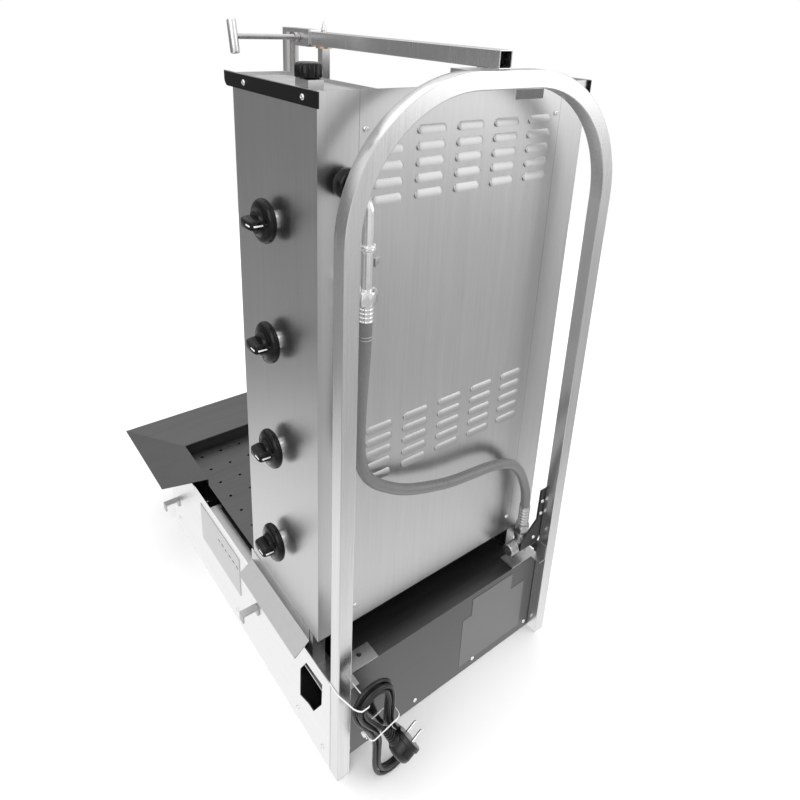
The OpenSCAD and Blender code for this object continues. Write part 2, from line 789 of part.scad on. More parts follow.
module pillar_shell() {
    return_in = rear_cover_half + fit;
    depth = tower_front_d - tower_rear_d;
    translate([0, 0, floor_top]) linear_extrude(tower_top - floor_top) {
        translate([tower_half - tower_sheet, at(tower_front_d)]) square([tower_sheet, depth]);
        translate([return_in, at(tower_rear_d + tower_sheet)])
            square([tower_half - return_in, tower_sheet]);
        translate([pillar_in, at(tower_front_d)]) square([tower_half - pillar_in, tower_sheet]);
        translate([pillar_in, at(tower_front_d)]) square([tower_sheet, depth - tower_sheet - fit]);
    }
}

module sideways_hole(x, z, dia, wall) {
    translate([x - over, at(knob_d), z]) rotate([0, 90, 0])
        cylinder(d = dia, h = wall + 2 * over, $fn = 48);
}

module pipe_hole() {
    translate([pipe_x, at(tower_rear_d - over), pipe_top_z]) rotate([90, 0, 0])
        cylinder(d = pipe_dia + 2 * fit, h = tower_sheet + 2 * over, $fn = 48);
}

panel_hole_gap = 2;

module control_panel() {
    color([0.72, 0.72, 0.73]) difference() {
        pillar_shell();
        for (i = [0 : knob_count - 1]) {
            sideways_hole(tower_half - tower_sheet, knob_z(i), spindle_dia + 2 * panel_hole_gap,
                tower_sheet);
            sideways_hole(pillar_in, knob_z(i), burner_tube + 2 * fit, tower_sheet);
        }
        pipe_hole();
    }
}

module far_side_panel() {
    color([0.72, 0.72, 0.73]) mirror([1, 0, 0]) pillar_shell();
}

// Rear cover with its pressed louvre slots and the dark slot in its top band
louvre_columns = 5;
louvre_rows = 5;
rim_slot_w = 50;
rim_slot_h = 12;
rim_slot_x = -96;
rim_slot_drop = 20;

module louvre_slot() {
    rotate([90, 0, 0]) linear_extrude(tower_sheet + 2 * over) {
        square([louvre_l - louvre_h, louvre_h], center = true);
        for (s = [-1, 1]) translate([s * (louvre_l - louvre_h) / 2, 0]) circle(d = louvre_h, $fn = 24);
    }
}

module rear_cover() {
    color([0.62, 0.62, 0.63]) difference() {
        box(-rear_cover_half, rear_cover_half, at(tower_rear_d), at(tower_rear_d + tower_sheet), floor_top,
            tower_top);
        for (z = [louvre_top_z, louvre_low_z]) for (j = [0 : louvre_rows - 1])
            for (i = [0 : louvre_columns - 1])
            translate([(i - (louvre_columns - 1) / 2) * louvre_pitch_x, at(tower_rear_d - over), z + j
                * louvre_pitch_z])
                louvre_slot();
        translate([rim_slot_x - rim_slot_w / 2, at(tower_rear_d + tower_sheet + over), tower_top
            - rim_slot_drop])
            cube([rim_slot_w, tower_sheet + 2 * over, rim_slot_h]);
        pipe_hole();
    }
}

module tower_floor() {
    color([0.60, 0.60, 0.61])
        box(-tower_half, tower_half, at(tower_rear_d), at(tower_front_d), tower_bottom, floor_top);
}

// Gray plates over both pillars, and the block that carries the lock knob
top_plate_drop = 4;
top_plate_z = tower_top - top_plate_drop;
lock_x = 196;
lock_d = 92;
lock_block_w = 18;
lock_block_l = 26;
lock_block_h = 12;
lock_stud_dia = 6;

module tower_top_plates() {
    color([0.55, 0.55, 0.56]) difference() {
        union() {
            both_sides() box(pillar_in + tower_sheet, tower_half - tower_sheet,
                at(tower_rear_d + 2 * tower_sheet),
                at(tower_front_d - tower_sheet), top_plate_z - tower_sheet, top_plate_z);
            box(lock_x - lock_block_w / 2, lock_x + lock_block_w / 2, at(lock_d - lock_block_l / 2),
                at(lock_d + lock_block_l / 2), top_plate_z, top_plate_z + lock_block_h);
        }
        translate([lock_x, at(lock_d), top_plate_z - tower_sheet - over])
            cylinder(r = lock_stud_dia / 2 + running, h = lock_block_h + tower_sheet + 2 * over, $fn = 48);
    }
}

lobes = 5;
lock_knob_r = 13;
lobe_r = 4.5;
lock_head_h = 16;
lobe_step = 2;

module lock_knob() {
    low = top_plate_z + lock_block_h + fit;
    core_r = lock_knob_r - lobe_r / 2;
    color([0.08, 0.08, 0.08]) translate([lock_x, at(lock_d), low]) {
        translate([0, 0, -lock_block_h]) cylinder(d = lock_stud_dia, h = lock_block_h + over, $fn = 48);
        cylinder(r = core_r, h = lock_head_h, $fn = 48);
        for (i = [0 : lobes - 1]) rotate([0, 0, i * 360 / lobes]) translate([core_r, 0, 0])
            cylinder(r = lobe_r, h = lock_head_h - lobe_step, $fn = 24);
    }
}

// Black trim strips along the tower's rim, longer than the tower at the front
trim_nose = 9;

module cap_trims() {
    color([0.07, 0.07, 0.07]) both_sides() translate([tower_half, at(trim_front_d), tower_top - trim_h])
        rotate([90, 0, 90]) linear_extrude(trim_sheet) difference() {
            square([trim_front_d - trim_rear_d, trim_h]);
            difference() {
                square(trim_nose);
                translate([trim_nose, trim_nose]) circle(r = trim_nose, $fn = 48);
            }
        }
}

// Burners: pressed housings with a ceramic plaque and a wire guard in front
burner_d = 136;
burner_deep = 60;
burner_gap = 17;
burner_h = knob_pitch - burner_gap;
burner_sheet = 1.5;
burner_half = pillar_in - fit;
plaque_t = 12;
guard_wire = 3;
guard_bars = 9;
guard_gap = 3;

module burner_housings() {
    color([0.50, 0.49, 0.48]) for (i = [0 : knob_count - 1]) difference() {
        box(-burner_half, burner_half, at(burner_d), at(burner_d + burner_deep),
            knob_z(i) - burner_h / 2, knob_z(i) + burner_h / 2);
        box(-burner_half + burner_sheet, burner_half - burner_sheet, at(burner_d + burner_sheet),
            at(burner_d + burner_deep + over), knob_z(i) - burner_h / 2 + burner_sheet,
            knob_z(i) + burner_h / 2 - burner_sheet);
        sideways_hole(burner_half - burner_sheet, knob_z(i), burner_tube + 2 * fit, burner_sheet);
    }
}

module burner_plaques() {
    half = burner_half - burner_sheet - fit;
    half_h = burner_h / 2 - burner_sheet - fit;
    color([0.86, 0.80, 0.72]) for (i = [0 : knob_count - 1])
        box(-half, half, at(burner_d + burner_deep - plaque_t), at(burner_d + burner_deep),
            knob_z(i) - half_h, knob_z(i) + half_h);
}

module burner_guard() {
    rows = 2 * knob_count;
    low = knob_z(knob_count - 1) - burner_h / 2;
    high = knob_z(0) + burner_h / 2;
    rear = burner_d + burner_deep + guard_gap;
    color([0.48, 0.47, 0.46]) {
        for (i = [0 : guard_bars - 1]) {
            x = -burner_half + i * (2 * burner_half - guard_wire) / (guard_bars - 1);
            box(x, x + guard_wire, at(rear + guard_wire), at(rear + 2 * guard_wire), low, high);
        }
        for (j = [0 : rows]) {
            z = low + j * (high - low - guard_wire) / rows;
            box(-pillar_in, pillar_in, at(rear), at(rear + guard_wire), z, z + guard_wire);
        }
    }
}

// Gas inside the knob-side pillar: manifold, four taps and their tubes to the burners
manifold_d = 108;
manifold_dia = 16;
tap_w = 24;
tap_in = 158;
tap_out = 194;
tap_bore = 20;
boss = 10;
manifold_end = 30;
manifold_top = 12;
manifold_foot = 24;

module gas_manifold() {
    low = knob_z(knob_count - 1) - manifold_end;
    high = pipe_top_z + manifold_top;
    front = manifold_d + manifold_dia / 2;
    rear = manifold_d - manifold_dia / 2;
    color([0.60, 0.58, 0.55]) {
        translate([pipe_x, at(manifold_d), low]) cylinder(d = manifold_dia, h = high - low, $fn = 48);
        for (i = [0 : knob_count - 1]) box(pipe_x - boss / 2, pipe_x + boss / 2, at(front - boss / 2),
            at(knob_d - tap_w / 2), knob_z(i) - boss / 2, knob_z(i) + boss / 2);
        box(pipe_x - manifold_dia / 2, pipe_x + manifold_dia / 2, at(rear), at(manifold_d),
            pipe_top_z - manifold_dia / 2, pipe_top_z + manifold_dia / 2);
        for (z = [low, high - manifold_foot]) box(pillar_in + tower_sheet, pipe_x,
            at(manifold_d - boss / 2),
            at(manifold_d + boss / 2), z, z + boss);
    }
}

module gas_taps() {
    tube_in = burner_half - 2 * burner_sheet;
    color([0.78, 0.66, 0.36]) for (i = [0 : knob_count - 1]) translate([0, at(knob_d), knob_z(i)])
        difference() {
        union() {
            box(tap_in, tap_out, -tap_w / 2, tap_w / 2, -tap_w / 2, tap_w / 2);
            translate([tube_in, 0, 0]) rotate([0, 90, 0])
                cylinder(d = burner_tube, h = tap_in + over - tube_in, $fn = 32);
        }
        translate([tap_out - tap_bore, 0, 0]) rotate([0, 90, 0])
            cylinder(r = spindle_dia / 2 + running, h = tap_bore + over, $fn = 48);
    }
}

// Gas pipe out of the tower, its rose, clamp ring, nut and ferrule
pipe_bend = 16;
rose_t = 3;
rose_rim = 7;
rose_dia = pipe_dia + 2 * rose_rim;
clamp_ring_rise = 44;
clamp_ring_z = pipe_low_z + clamp_ring_rise;
clamp_ring_h = 8;
clamp_ring_wall = 3;
clamp_ring_dia = pipe_dia + 2 * clamp_ring_wall;

module inlet_pipe() {
    manifold_rear = manifold_d - manifold_dia / 2;
    color([0.70, 0.70, 0.72]) {
        translate([pipe_x, at(gas_d), 0]) {
            translate([0, 0, pipe_low_z]) cylinder(d = pipe_dia, h = pipe_top_z - pipe_bend - pipe_low_z,
                $fn = 48);
            translate([0, -pipe_bend, pipe_top_z - pipe_bend]) rotate([0, -90, 0])
                rotate_extrude(angle = 90, $fn = 48) translate([pipe_bend, 0])
                    circle(d = pipe_dia, $fn = 32);
            translate([0, 0, hose_top_z]) cylinder(d = ferrule_dia, h = ferrule_h, $fn = 48);
            translate([0, 0, pipe_low_z - nut_h]) cylinder(d = nut_dia, h = nut_h, $fn = 6);
            translate([0, 0, clamp_ring_z]) cylinder(d = clamp_ring_dia, h = clamp_ring_h, $fn = 32);
        }
        translate([pipe_x, at(gas_d + pipe_bend), pipe_top_z]) rotate([90, 0, 0])
            cylinder(d = pipe_dia, h = manifold_rear - gas_d - pipe_bend, $fn = 48);
        translate([pipe_x, at(tower_rear_d - rose_t), pipe_top_z]) rotate([90, 0, 0])
            cylinder(d = rose_dia, h = rose_t, $fn = 48);
    }
}

// Gas connection on the base: ferrule, nut, elbow and the threaded stub for the supply
inlet_ferrule_h = 43;
elbow_dia = 20;
elbow_z = 188;
elbow_reach = 16;
stub_l = 14;
elbow_boss_w = 16;
elbow_boss_h = 10;
elbow_boss_drop = 12;

module gas_inlet() {
    ferrule_low = hose_low_z - inlet_ferrule_h;
    nut_low = ferrule_low - nut_h;
    low = elbow_z - elbow_dia / 2;
    color([0.66, 0.65, 0.62]) translate([inlet_x, at(gas_d), 0]) {
        translate([0, 0, ferrule_low]) cylinder(d = ferrule_dia, h = inlet_ferrule_h, $fn = 48);
        translate([0, 0, nut_low]) cylinder(d = nut_dia, h = nut_h, $fn = 48);
        translate([0, 0, low]) cylinder(d = elbow_dia, h = nut_low - low, $fn = 48);
        translate([0, 0, elbow_z]) rotate([0, 90, 0]) cylinder(d = elbow_dia, h = elbow_reach, $fn = 48);
        translate([elbow_reach, 0, elbow_z]) rotate([0, 90, 0])
            cylinder(d = thread_dia, h = stub_l, $fn = 64);
        box(-elbow_boss_w / 2, elbow_boss_w / 2, 0, gas_d - tube - elbow_plate_t,
            nut_low - elbow_boss_drop, nut_low - elbow_boss_drop + elbow_boss_h);
    }
}

module gas_hose() {
    stretch = (hose_top_z - hose_low_z) / (hose_drawn_high - hose_drawn_low);
    path = [for (p = hose_route) [p[0], at(gas_d), hose_low_z + (p[1] - hose_drawn_low) * stretch]];
    color([0.45, 0.45, 0.46]) swept_tube(path, hose_dia, 12, [0, 1, 0], [0, 0, -1], [0, 0, -1]);
}

// Sloped flanges that cover the channels at both sides of the tower
flange_reach = 24.5;
flange_top_z = 184;
flange_low_z = 166.5;
flange_tab = 22;
flange_rear_in = 22;
flange_front_over = 6;
flange_rear_d = tower_rear_d + flange_rear_in;
flange_front_d = tower_front_d + flange_front_over;

module tower_flanges() {
    edge = tower_half + flange_reach;
    color([0.74, 0.74, 0.75]) both_sides() translate([0, at(flange_rear_d), 0]) rotate([90, 0, 0])
        linear_extrude(flange_front_d - flange_rear_d) polygon([
            [tower_half, flange_top_z + flange_tab], [tower_half, flange_top_z],
            [edge - tower_sheet, flange_low_z], [edge, flange_low_z + tower_sheet],
            [tower_half + tower_sheet, flange_top_z + tower_sheet / 2],
            [tower_half + tower_sheet, flange_top_z + flange_tab]]);
}

// Four shoes under the tower that run on the rails
shoe_in = 183;
shoe_w = 20;
shoe_l = 24;
shoe_inset = 22;

module tower_shoes() {
    color([0.30, 0.30, 0.31]) both_sides() for (d = [tower_rear_d + shoe_inset, tower_front_d
        - shoe_inset - shoe_l])
        box(shoe_in, shoe_in + shoe_w, at(d), at(d + shoe_l), rail_top + fit, tower_bottom);
}

// Round black hand grip on the tower's rear
rear_knob_x = 178;
rear_knob_drop = 92;
rear_knob_z = tower_top - rear_knob_drop;
rear_knob_dia = 34;
rear_knob_h = 24;
rear_knob_shares = [[0, 0], [0.47, 0], [0.47, 0.25], [0.88, 0.33], [1, 0.46], [1, 0.8], [0.76, 0.96],
    [0, 1]];

module rear_knob() {
    color([0.06, 0.06, 0.06]) translate([rear_knob_x, at(tower_rear_d), rear_knob_z]) rotate([-90, 0, 0])
        rotate_extrude($fn = 64)
            polygon([for (p = rear_knob_shares) [p[0] * rear_knob_dia / 2, p[1] * rear_knob_h]]);
}

// Control knobs: bezel on the panel, spindle that is pressed in, and the knob that turns on it
bezel_gap = 1;
spindle_in = 14;
spindle_seat = 12;
grip_w = 13;
knob_shares = [[0, 0], [1, 0], [1, 0.11], [0.9, 0.18], [0.65, 0.29], [0.54, 0.44], [0.47, 0.55], [0, 0.55]];

module knob_bezels() {
    color([0.80, 0.80, 0.81]) for (i = [0 : knob_count - 1]) translate([tower_half, at(knob_d), knob_z(i)])
        rotate([0, 90, 0]) difference() {
            cylinder(d = bezel_dia, h = bezel_h, $fn = 48);
            translate([0, 0, -over]) cylinder(d = spindle_dia + 2 * bezel_gap, h = bezel_h + 2 * over,
                $fn = 48);
        }
}

module control_spindle(i) {
    color([0.80, 0.80, 0.82]) translate([tap_out - spindle_in, at(knob_d), knob_z(i)]) rotate([0, 90, 0])
        cylinder(d = spindle_dia, h = knob_back + spindle_seat - tap_out + spindle_in, $fn = 48);
}

module control_knob(i) {
    color([0.05, 0.05, 0.05]) translate([knob_back, at(knob_d), knob_z(i)]) rotate([0, 90, 0])
        difference() {
        union() {
            rotate_extrude($fn = 64) polygon([for (p = knob_shares) [p[0] * knob_dia / 2, p[1] * knob_h]]);
            intersection() {
                translate([-grip_w / 2, -grip_l / 2, bezel_gap]) cube([grip_w, grip_l, knob_h - bezel_gap]);
                cylinder(d = grip_l, h = knob_h, $fn = 64);
            }
        }
        translate([0, 0, -over]) cylinder(r = spindle_dia / 2 + running, h = spindle_seat + over + fit,
            $fn = 48);
    }
}

module spindle_1() { control_spindle(0); }
module spindle_2() { control_spindle(1); }
module spindle_3() { control_spindle(2); }
module spindle_4() { control_spindle(3); }
module knob_1() { control_knob(0); }
module knob_2() { control_knob(1); }
module knob_3() { control_knob(2); }
module knob_4() { control_knob(3); }

// Screws: domed heads that stand on the sheets
screw_head = 7;
screw_head_h = 2.2;
screw_dome_share = 0.6;
trim_screw_rear = 24;
trim_screw_front = 35;
cover_screw_in = 8;
cover_screw_low = 30;
cover_screw_top = 40;
base_screw_z = 22;
base_screw_in = 30;
base_screw_d = [40, 110, 320, base_front_d - base_screw_in];
rear_screw_x = [60, 182];
rear_screw_z = 16;

module dome_screw() {
    cylinder(d1 = screw_head, d2 = screw_head * screw_dome_share, h = screw_head_h, $fn = 24);
}

module tower_screws() {
    color([0.85, 0.85, 0.86]) both_sides() {
        for (d = [tower_rear_d + trim_screw_rear, tower_front_d - trim_screw_front])
            translate([tower_half + trim_sheet, at(d), tower_top - trim_h / 2]) rotate([0, 90, 0])
                dome_screw();
        for (z = [tower_bottom + cover_screw_low, tower_top - cover_screw_top])
            translate([rear_cover_half - cover_screw_in, at(tower_rear_d), z]) rotate([-90, 0, 0])
                dome_screw();
    }
}

module base_screws() {
    color([0.75, 0.75, 0.76]) both_sides() {
        for (d = base_screw_d) translate([base_half, at(d), base_screw_z]) rotate([0, 90, 0]) dome_screw();
        for (x = rear_screw_x) translate([x, at(base_rear_d), rear_screw_z]) rotate([-90, 0, 0])
            dome_screw();
    }
}

// Power cord: gland, lead, hank in two layers, tail and right-angle plug
hank_at = [158, 382, 97];
hank_roll = 15;
hank_gap = 0.9;
hank_layer_gap = 0.6;
hank_turn_steps = 24;
hank_pitch = cord_dia + hank_gap;
hank_start = 0.58; // part of the first run that the lead skips
hank_steps = round(hank_turns * hank_turn_steps);
hank_end = hank_start + 4 * hank_steps / hank_turn_steps;
// The run along which the hank climbs to its second layer, and its widest spiral there
hank_climb = 2 * floor((hank_start + hank_end) / 4);
hank_peak = max(hank_end - hank_climb - 0.5, hank_climb + 0.5 - hank_start) / 4;

function hank_wide(s) = hank_r + hank_pitch * (hank_peak - abs(s - hank_climb - 0.5) / 4);
function hank_layer(s) = (cord_dia + hank_layer_gap) * (min(max(s - hank_climb, 0), 1) - 0.5);
function hank_drawn(s, v) = hank_wide(s) - hank_draw * pow(cos(180 * v / hank_run), 2);
// Quarters of a turn: up one side, over the top, down the other side, under the bottom
function hank_flat(s) =
    let (part = floor(s) % 4, f = s - floor(s), half = hank_run / 2, up = part < 2 ? 1 : -1)
    part % 2 == 0
        ? let (v = up * (f * hank_run - half)) [-up * hank_drawn(s, v), v]
        : [-up * hank_wide(s) * cos(180 * f), up * (half + hank_wide(s) * sin(180 * f))];
function hank_place(u, w, v) = hank_at + [u * cos(hank_roll) + v * sin(hank_roll), w,
    v * cos(hank_roll) - u * sin(hank_roll)];
hank_points = [for (i = [0 : hank_steps])
    let (s = hank_start + 4 * i / hank_turn_steps, p = hank_flat(s)) hank_place(p[0], hank_layer(s), p[1])];
hank_first = unit(hank_points[1] - hank_points[0]);
hank_last = unit(hank_points[hank_steps] - hank_points[hank_steps - 1]);
hank_least_gap = min([for (i = [0 : hank_steps]) for (j = [i + hank_turn_steps / 2 : 1 : hank_steps])
    norm(hank_points[i] - hank_points[j])]) - cord_dia;
echo(hank_least_gap = hank_least_gap);

// Routes of the cord's two free stretches, from the gland to the hank and from the hank to the plug
lead_route = [[149, 353, 80], [149, 356, 80], [149.2, 364, 81.8], [150, 371.7, 87], [151, 376.9, 94.8],
    [152.2, 378.6, 103]];
tail_route = [[172.5, 387, 119.5], [169, 388.9, 115.5]];
plug_at = [145, 408, 80];
plug_tilt = 25;
plug_turn = 33;
plug_dia = 38;
plug_h = 28;
plug_neck = 22;
plug_neck_dia = 9;
plug_pin_dia = 4.8;
plug_pin_l = 19;
plug_pin_gap = 19;
plug_exit = [sin(plug_turn) * cos(plug_tilt), -sin(plug_tilt), cos(plug_turn) * cos(plug_tilt)];

gland_l = 20;
gland_flange = 22;
gland_flange_t = 3;
gland_tip = 10;
gland_nut = 22;
gland_nut_t = 4;

module cord_gland() {
    color([0.10, 0.10, 0.10]) translate([gland_x, at(base_rear_d), gland_z]) rotate([-90, 0, 0]) {
        translate([0, 0, -base_sheet - over]) cylinder(d = gland_dia - 2 * fit, h = base_sheet + 2 * over,
            $fn = 48);
        translate([0, 0, -base_sheet - gland_nut_t]) cylinder(d = gland_nut, h = gland_nut_t, $fn = 6);
        cylinder(d = gland_flange, h = gland_flange_t, $fn = 48);
        translate([0, 0, gland_flange_t])
            cylinder(d1 = gland_dia, d2 = gland_tip, h = gland_l - gland_flange_t, $fn = 48);
    }
}

module power_cord() {
    lead = concat(lead_route, [hank_points[0]]);
    tail = concat([hank_points[hank_steps]], tail_route,
        [plug_at + (plug_dia / 2 + plug_neck) * plug_exit]);
    color([0.12, 0.12, 0.12]) {
        swept_tube(lead, cord_dia, 8, [1, 0, 0], [0, 1, 0], hank_first);
        swept_tube(tail, cord_dia, 8, [0, 1, 0], hank_last, -plug_exit);
    }
}

module cord_hank() {
    color([0.12, 0.12, 0.12]) swept_tube(hank_points, cord_dia, 6, [0, 1, 0], hank_first, hank_last);
}

module power_plug() {
    color([0.10, 0.10, 0.10]) translate(plug_at) rotate([0, plug_turn, 0]) rotate([plug_tilt, 0, 0]) {
        rotate([0, 90, 0]) translate([0, 0, -plug_h / 2]) cylinder(d = plug_dia, h = plug_h, $fn = 64);
        translate([0, 0, plug_dia / 2 - over]) cylinder(d1 = 2 * plug_neck_dia, d2 = plug_neck_dia,
            h = plug_neck + over, $fn = 48);
    }
    color([0.80, 0.80, 0.82]) translate(plug_at) rotate([0, plug_turn, 0]) rotate([plug_tilt, 0, 0])
        for (s = [-1, 1]) translate([-plug_h / 2, s * plug_pin_gap / 2, 0]) rotate([0, -90, 0])
            cylinder(d = plug_pin_dia, h = plug_pin_l, $fn = 32);
}

// Two cable ties: one round the hank's waist, one that holds the hank to the frame's leg
tie_w = 3.5;
tie_t = 1.2;
tie_gap = 0.4;
waist_v = 24;
waist_left = 22.8;
waist_right = 25.1;
waist_deep = 19;
waist_out = 4;
tie_head = 6;
leg_tie_x = 176;
leg_tie_z = 168;

module tie_loop(x0, x1, y0, y1) {
    difference() {
        box(x0 - tie_t, x1 + tie_t, y0 - tie_t, y1 + tie_t, 0, tie_w);
        box(x0, x1, y0, y1, -over, tie_w + over);
    }
}

module cord_ties() {
    stack = cord_dia + hank_layer_gap / 2 + tie_gap;
    color([0.90, 0.90, 0.88]) {
        translate(hank_at) rotate([0, hank_roll, 0]) translate([0, 0, waist_v - tie_w / 2]) {
            tie_loop(-waist_left, waist_right, -stack, waist_deep - stack + tie_w);
            box(waist_right + tie_t, waist_right + tie_t + waist_out, -tie_head / 2, tie_head / 2, 0,
                tie_w);
        }
        translate([0, 0, leg_tie_z])
            tie_loop(leg_tie_x + tie_t, base_half, at(tube), hank_at[1] + stack);
    }
}

frame_tube();
top_arm();
spit_bearing();
side_panel_right();
side_panel_left();
rear_panel();
front_panel();
bottom_panel();
deck_plate();
slide_rails();
splash_wing();
access_cover();
side_lugs();
frame_brackets();
gas_inlet();
gas_hose();
gear_motor();
drip_pan();
switch_housing();
switch_rocker();
cord_gland();
power_cord();
cord_hank();
power_plug();
cord_ties();
base_screws();
perforated_tray();
grease_drawer();
control_panel();
far_side_panel();
rear_cover();
tower_floor();
tower_top_plates();
cap_trims();
burner_housings();
burner_plaques();
burner_guard();
gas_manifold();
gas_taps();
inlet_pipe();
tower_flanges();
tower_shoes();
rear_knob();
knob_bezels();
tower_screws();
lock_knob();
spindle_1();
spindle_2();
spindle_3();
spindle_4();
knob_1();
knob_2();
knob_3();
knob_4();
spit();
meat_plate();
drive_socket();
arm_carriage();
clamp_screw();
t_bar();
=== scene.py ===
import bpy, bmesh, math
from mathutils import Euler, Matrix, Vector


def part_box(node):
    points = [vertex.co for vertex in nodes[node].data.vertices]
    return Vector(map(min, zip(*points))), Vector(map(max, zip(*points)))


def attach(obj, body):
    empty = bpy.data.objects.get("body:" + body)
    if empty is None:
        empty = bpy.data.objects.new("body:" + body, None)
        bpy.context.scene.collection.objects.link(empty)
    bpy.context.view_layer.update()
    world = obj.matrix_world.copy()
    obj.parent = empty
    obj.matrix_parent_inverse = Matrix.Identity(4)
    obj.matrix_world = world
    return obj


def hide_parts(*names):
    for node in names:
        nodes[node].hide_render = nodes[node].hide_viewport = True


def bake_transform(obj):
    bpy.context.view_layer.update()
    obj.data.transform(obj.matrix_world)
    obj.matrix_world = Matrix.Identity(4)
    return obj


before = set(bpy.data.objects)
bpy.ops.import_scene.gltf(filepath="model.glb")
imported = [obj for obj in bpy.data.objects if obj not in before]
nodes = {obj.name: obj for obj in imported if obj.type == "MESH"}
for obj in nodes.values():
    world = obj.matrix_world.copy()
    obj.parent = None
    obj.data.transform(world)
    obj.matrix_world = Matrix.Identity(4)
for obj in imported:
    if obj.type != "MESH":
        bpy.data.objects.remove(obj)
scene = bpy.context.scene
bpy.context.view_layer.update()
mm = 0.001
print("stage: frame loaded,", len(nodes), "nodes")


# Camera, worked out from the straight edges of the grill in the photograph
cameraSettings = {
    "place": (0.5437, 0.8595, 1.0006),
    "turnDegrees": (69.38, -2.395, 142.527),
    "focalPixels": 662.9,
    "imagePixels": 800,
    "axisPixel": (400, 260),  # where the lens axis meets the picture
    "sensorWidth": 36.0,
}


def makeCamera(settings):
    data = bpy.data.cameras.new("photoCamera")
    camera = bpy.data.objects.new("photoCamera", data)
    scene.collection.objects.link(camera)
    camera.location = settings["place"]
    camera.rotation_euler = Euler([math.radians(a) for a in settings["turnDegrees"]], "XYZ")
    pixels = settings["imagePixels"]
    data.sensor_width = settings["sensorWidth"]
    data.lens = settings["focalPixels"] * settings["sensorWidth"] / pixels
    data.shift_x = (pixels / 2 - settings["axisPixel"][0]) / pixels
    data.shift_y = (settings["axisPixel"][1] - pixels / 2) / pixels
    data.clip_start, data.clip_end = 0.02, 100
    scene.camera = camera


makeCamera(cameraSettings)
print("stage: camera placed")


# Shared shader groups: each puts out values that change over the surface
def startGroup(name, inputs, outputs):
    # a new node group, and the nodes that hold its inputs and outputs
    group = bpy.data.node_groups.new(name, "ShaderNodeTree")
    for label, kind, value in inputs:
        socket = group.interface.new_socket(name=label, in_out="INPUT", socket_type="NodeSocket" + kind)
        if value is not None:
            socket.default_value = value
    for label, kind in outputs:
        group.interface.new_socket(name=label, in_out="OUTPUT", socket_type="NodeSocket" + kind)
    return group, group.nodes.new("NodeGroupInput"), group.nodes.new("NodeGroupOutput")


def feed(tree, socket, source):
    if isinstance(source, bpy.types.NodeSocket):
        tree.links.new(source, socket)
    else:
        socket.default_value = source


def mathNode(tree, operation, first, second, clamp=False):
    node = tree.nodes.new("ShaderNodeMath")
    node.operation = operation
    node.use_clamp = clamp
    feed(tree, node.inputs[0], first)
    feed(tree, node.inputs[1], second)
    return node.outputs[0]


def noiseNode(tree, vector, scale, detail=3.0, roughness=0.55):
    node = tree.nodes.new("ShaderNodeTexNoise")
    node.inputs["Detail"].default_value = detail
    node.inputs["Roughness"].default_value = roughness
    tree.links.new(vector, node.inputs["Vector"])
    feed(tree, node.inputs["Scale"], scale)
    return node.outputs["Fac"]


def rangeNode(tree, value, low, high, newLow, newHigh):
    node = tree.nodes.new("ShaderNodeMapRange")
    for name, source in (("Value", value), ("From Min", low), ("From Max", high),
                         ("To Min", newLow), ("To Max", newHigh)):
        feed(tree, node.inputs[name], source)
    return node.outputs["Result"]


def partsNode(tree, vector):
    node = tree.nodes.new("ShaderNodeSeparateXYZ")
    tree.links.new(vector, node.inputs[0])
    return node.outputs


def makeSheetGrain():
    # fine polishing lines: dense across the grain, long along it
    group, inside, outside = startGroup("sheetGrain", [
        ("Place", "Vector", None), ("Stretch", "Vector", (1.0, 1.0, 0.02)), ("Density", "Float", 900.0),
        ("Depth", "Float", 0.5)], [("Lines", "Float"), ("Height", "Float")])
    stretched = group.nodes.new("ShaderNodeVectorMath")
    stretched.operation = "MULTIPLY"
    group.links.new(inside.outputs["Place"], stretched.inputs[0])
    group.links.new(inside.outputs["Stretch"], stretched.inputs[1])
    coarser = mathNode(group, "MULTIPLY", inside.outputs["Density"], 0.12)
    fine = noiseNode(group, stretched.outputs[0], inside.outputs["Density"], 4.0, 0.7)
    broad = noiseNode(group, stretched.outputs[0], coarser, 2.0)
    both = mathNode(group, "ADD", mathNode(group, "MULTIPLY", fine, 0.7),
                    mathNode(group, "MULTIPLY", broad, 0.3))
    group.links.new(both, outside.inputs["Lines"])
    group.links.new(mathNode(group, "MULTIPLY", both, inside.outputs["Depth"]), outside.inputs["Height"])
    return group


def makeSmudges():
    # wiped, cloudy marks and small specks of handling
    group, inside, outside = startGroup("smudges", [
        ("Place", "Vector", None), ("Size", "Float", 6.0), ("Amount", "Float", 0.2)],
        [("Marks", "Float")])
    clouds = noiseNode(group, inside.outputs["Place"], inside.outputs["Size"], 3.0, 0.5)
    finer = mathNode(group, "MULTIPLY", inside.outputs["Size"], 34.0)
    specks = noiseNode(group, inside.outputs["Place"], finer, 2.0)
    spots = rangeNode(group, specks, 0.66, 0.74, 0.0, 0.6)
    wiped = rangeNode(group, clouds, 0.35, 0.7, 0.0, 1.0)
    total = mathNode(group, "ADD", wiped, spots)
    group.links.new(mathNode(group, "MULTIPLY", total, inside.outputs["Amount"]), outside.inputs["Marks"])
    return group


def makeToneShift():
    # a base colour that lightens and darkens with a mask
    group, inside, outside = startGroup("toneShift", [
        ("Dark", "Color", (0.3, 0.3, 0.3, 1.0)), ("Light", "Color", (0.6, 0.6, 0.6, 1.0)),
        ("Mask", "Float", 0.5)], [("Tone", "Color")])
    mix = group.nodes.new("ShaderNodeMix")
    mix.data_type = "RGBA"
    group.links.new(inside.outputs["Mask"], mix.inputs[0])
    group.links.new(inside.outputs["Dark"], mix.inputs[6])
    group.links.new(inside.outputs["Light"], mix.inputs[7])
    group.links.new(mix.outputs[2], outside.inputs["Tone"])
    return group


shaderGroups = {"grain": makeSheetGrain(), "smudges": makeSmudges(), "tone": makeToneShift()}


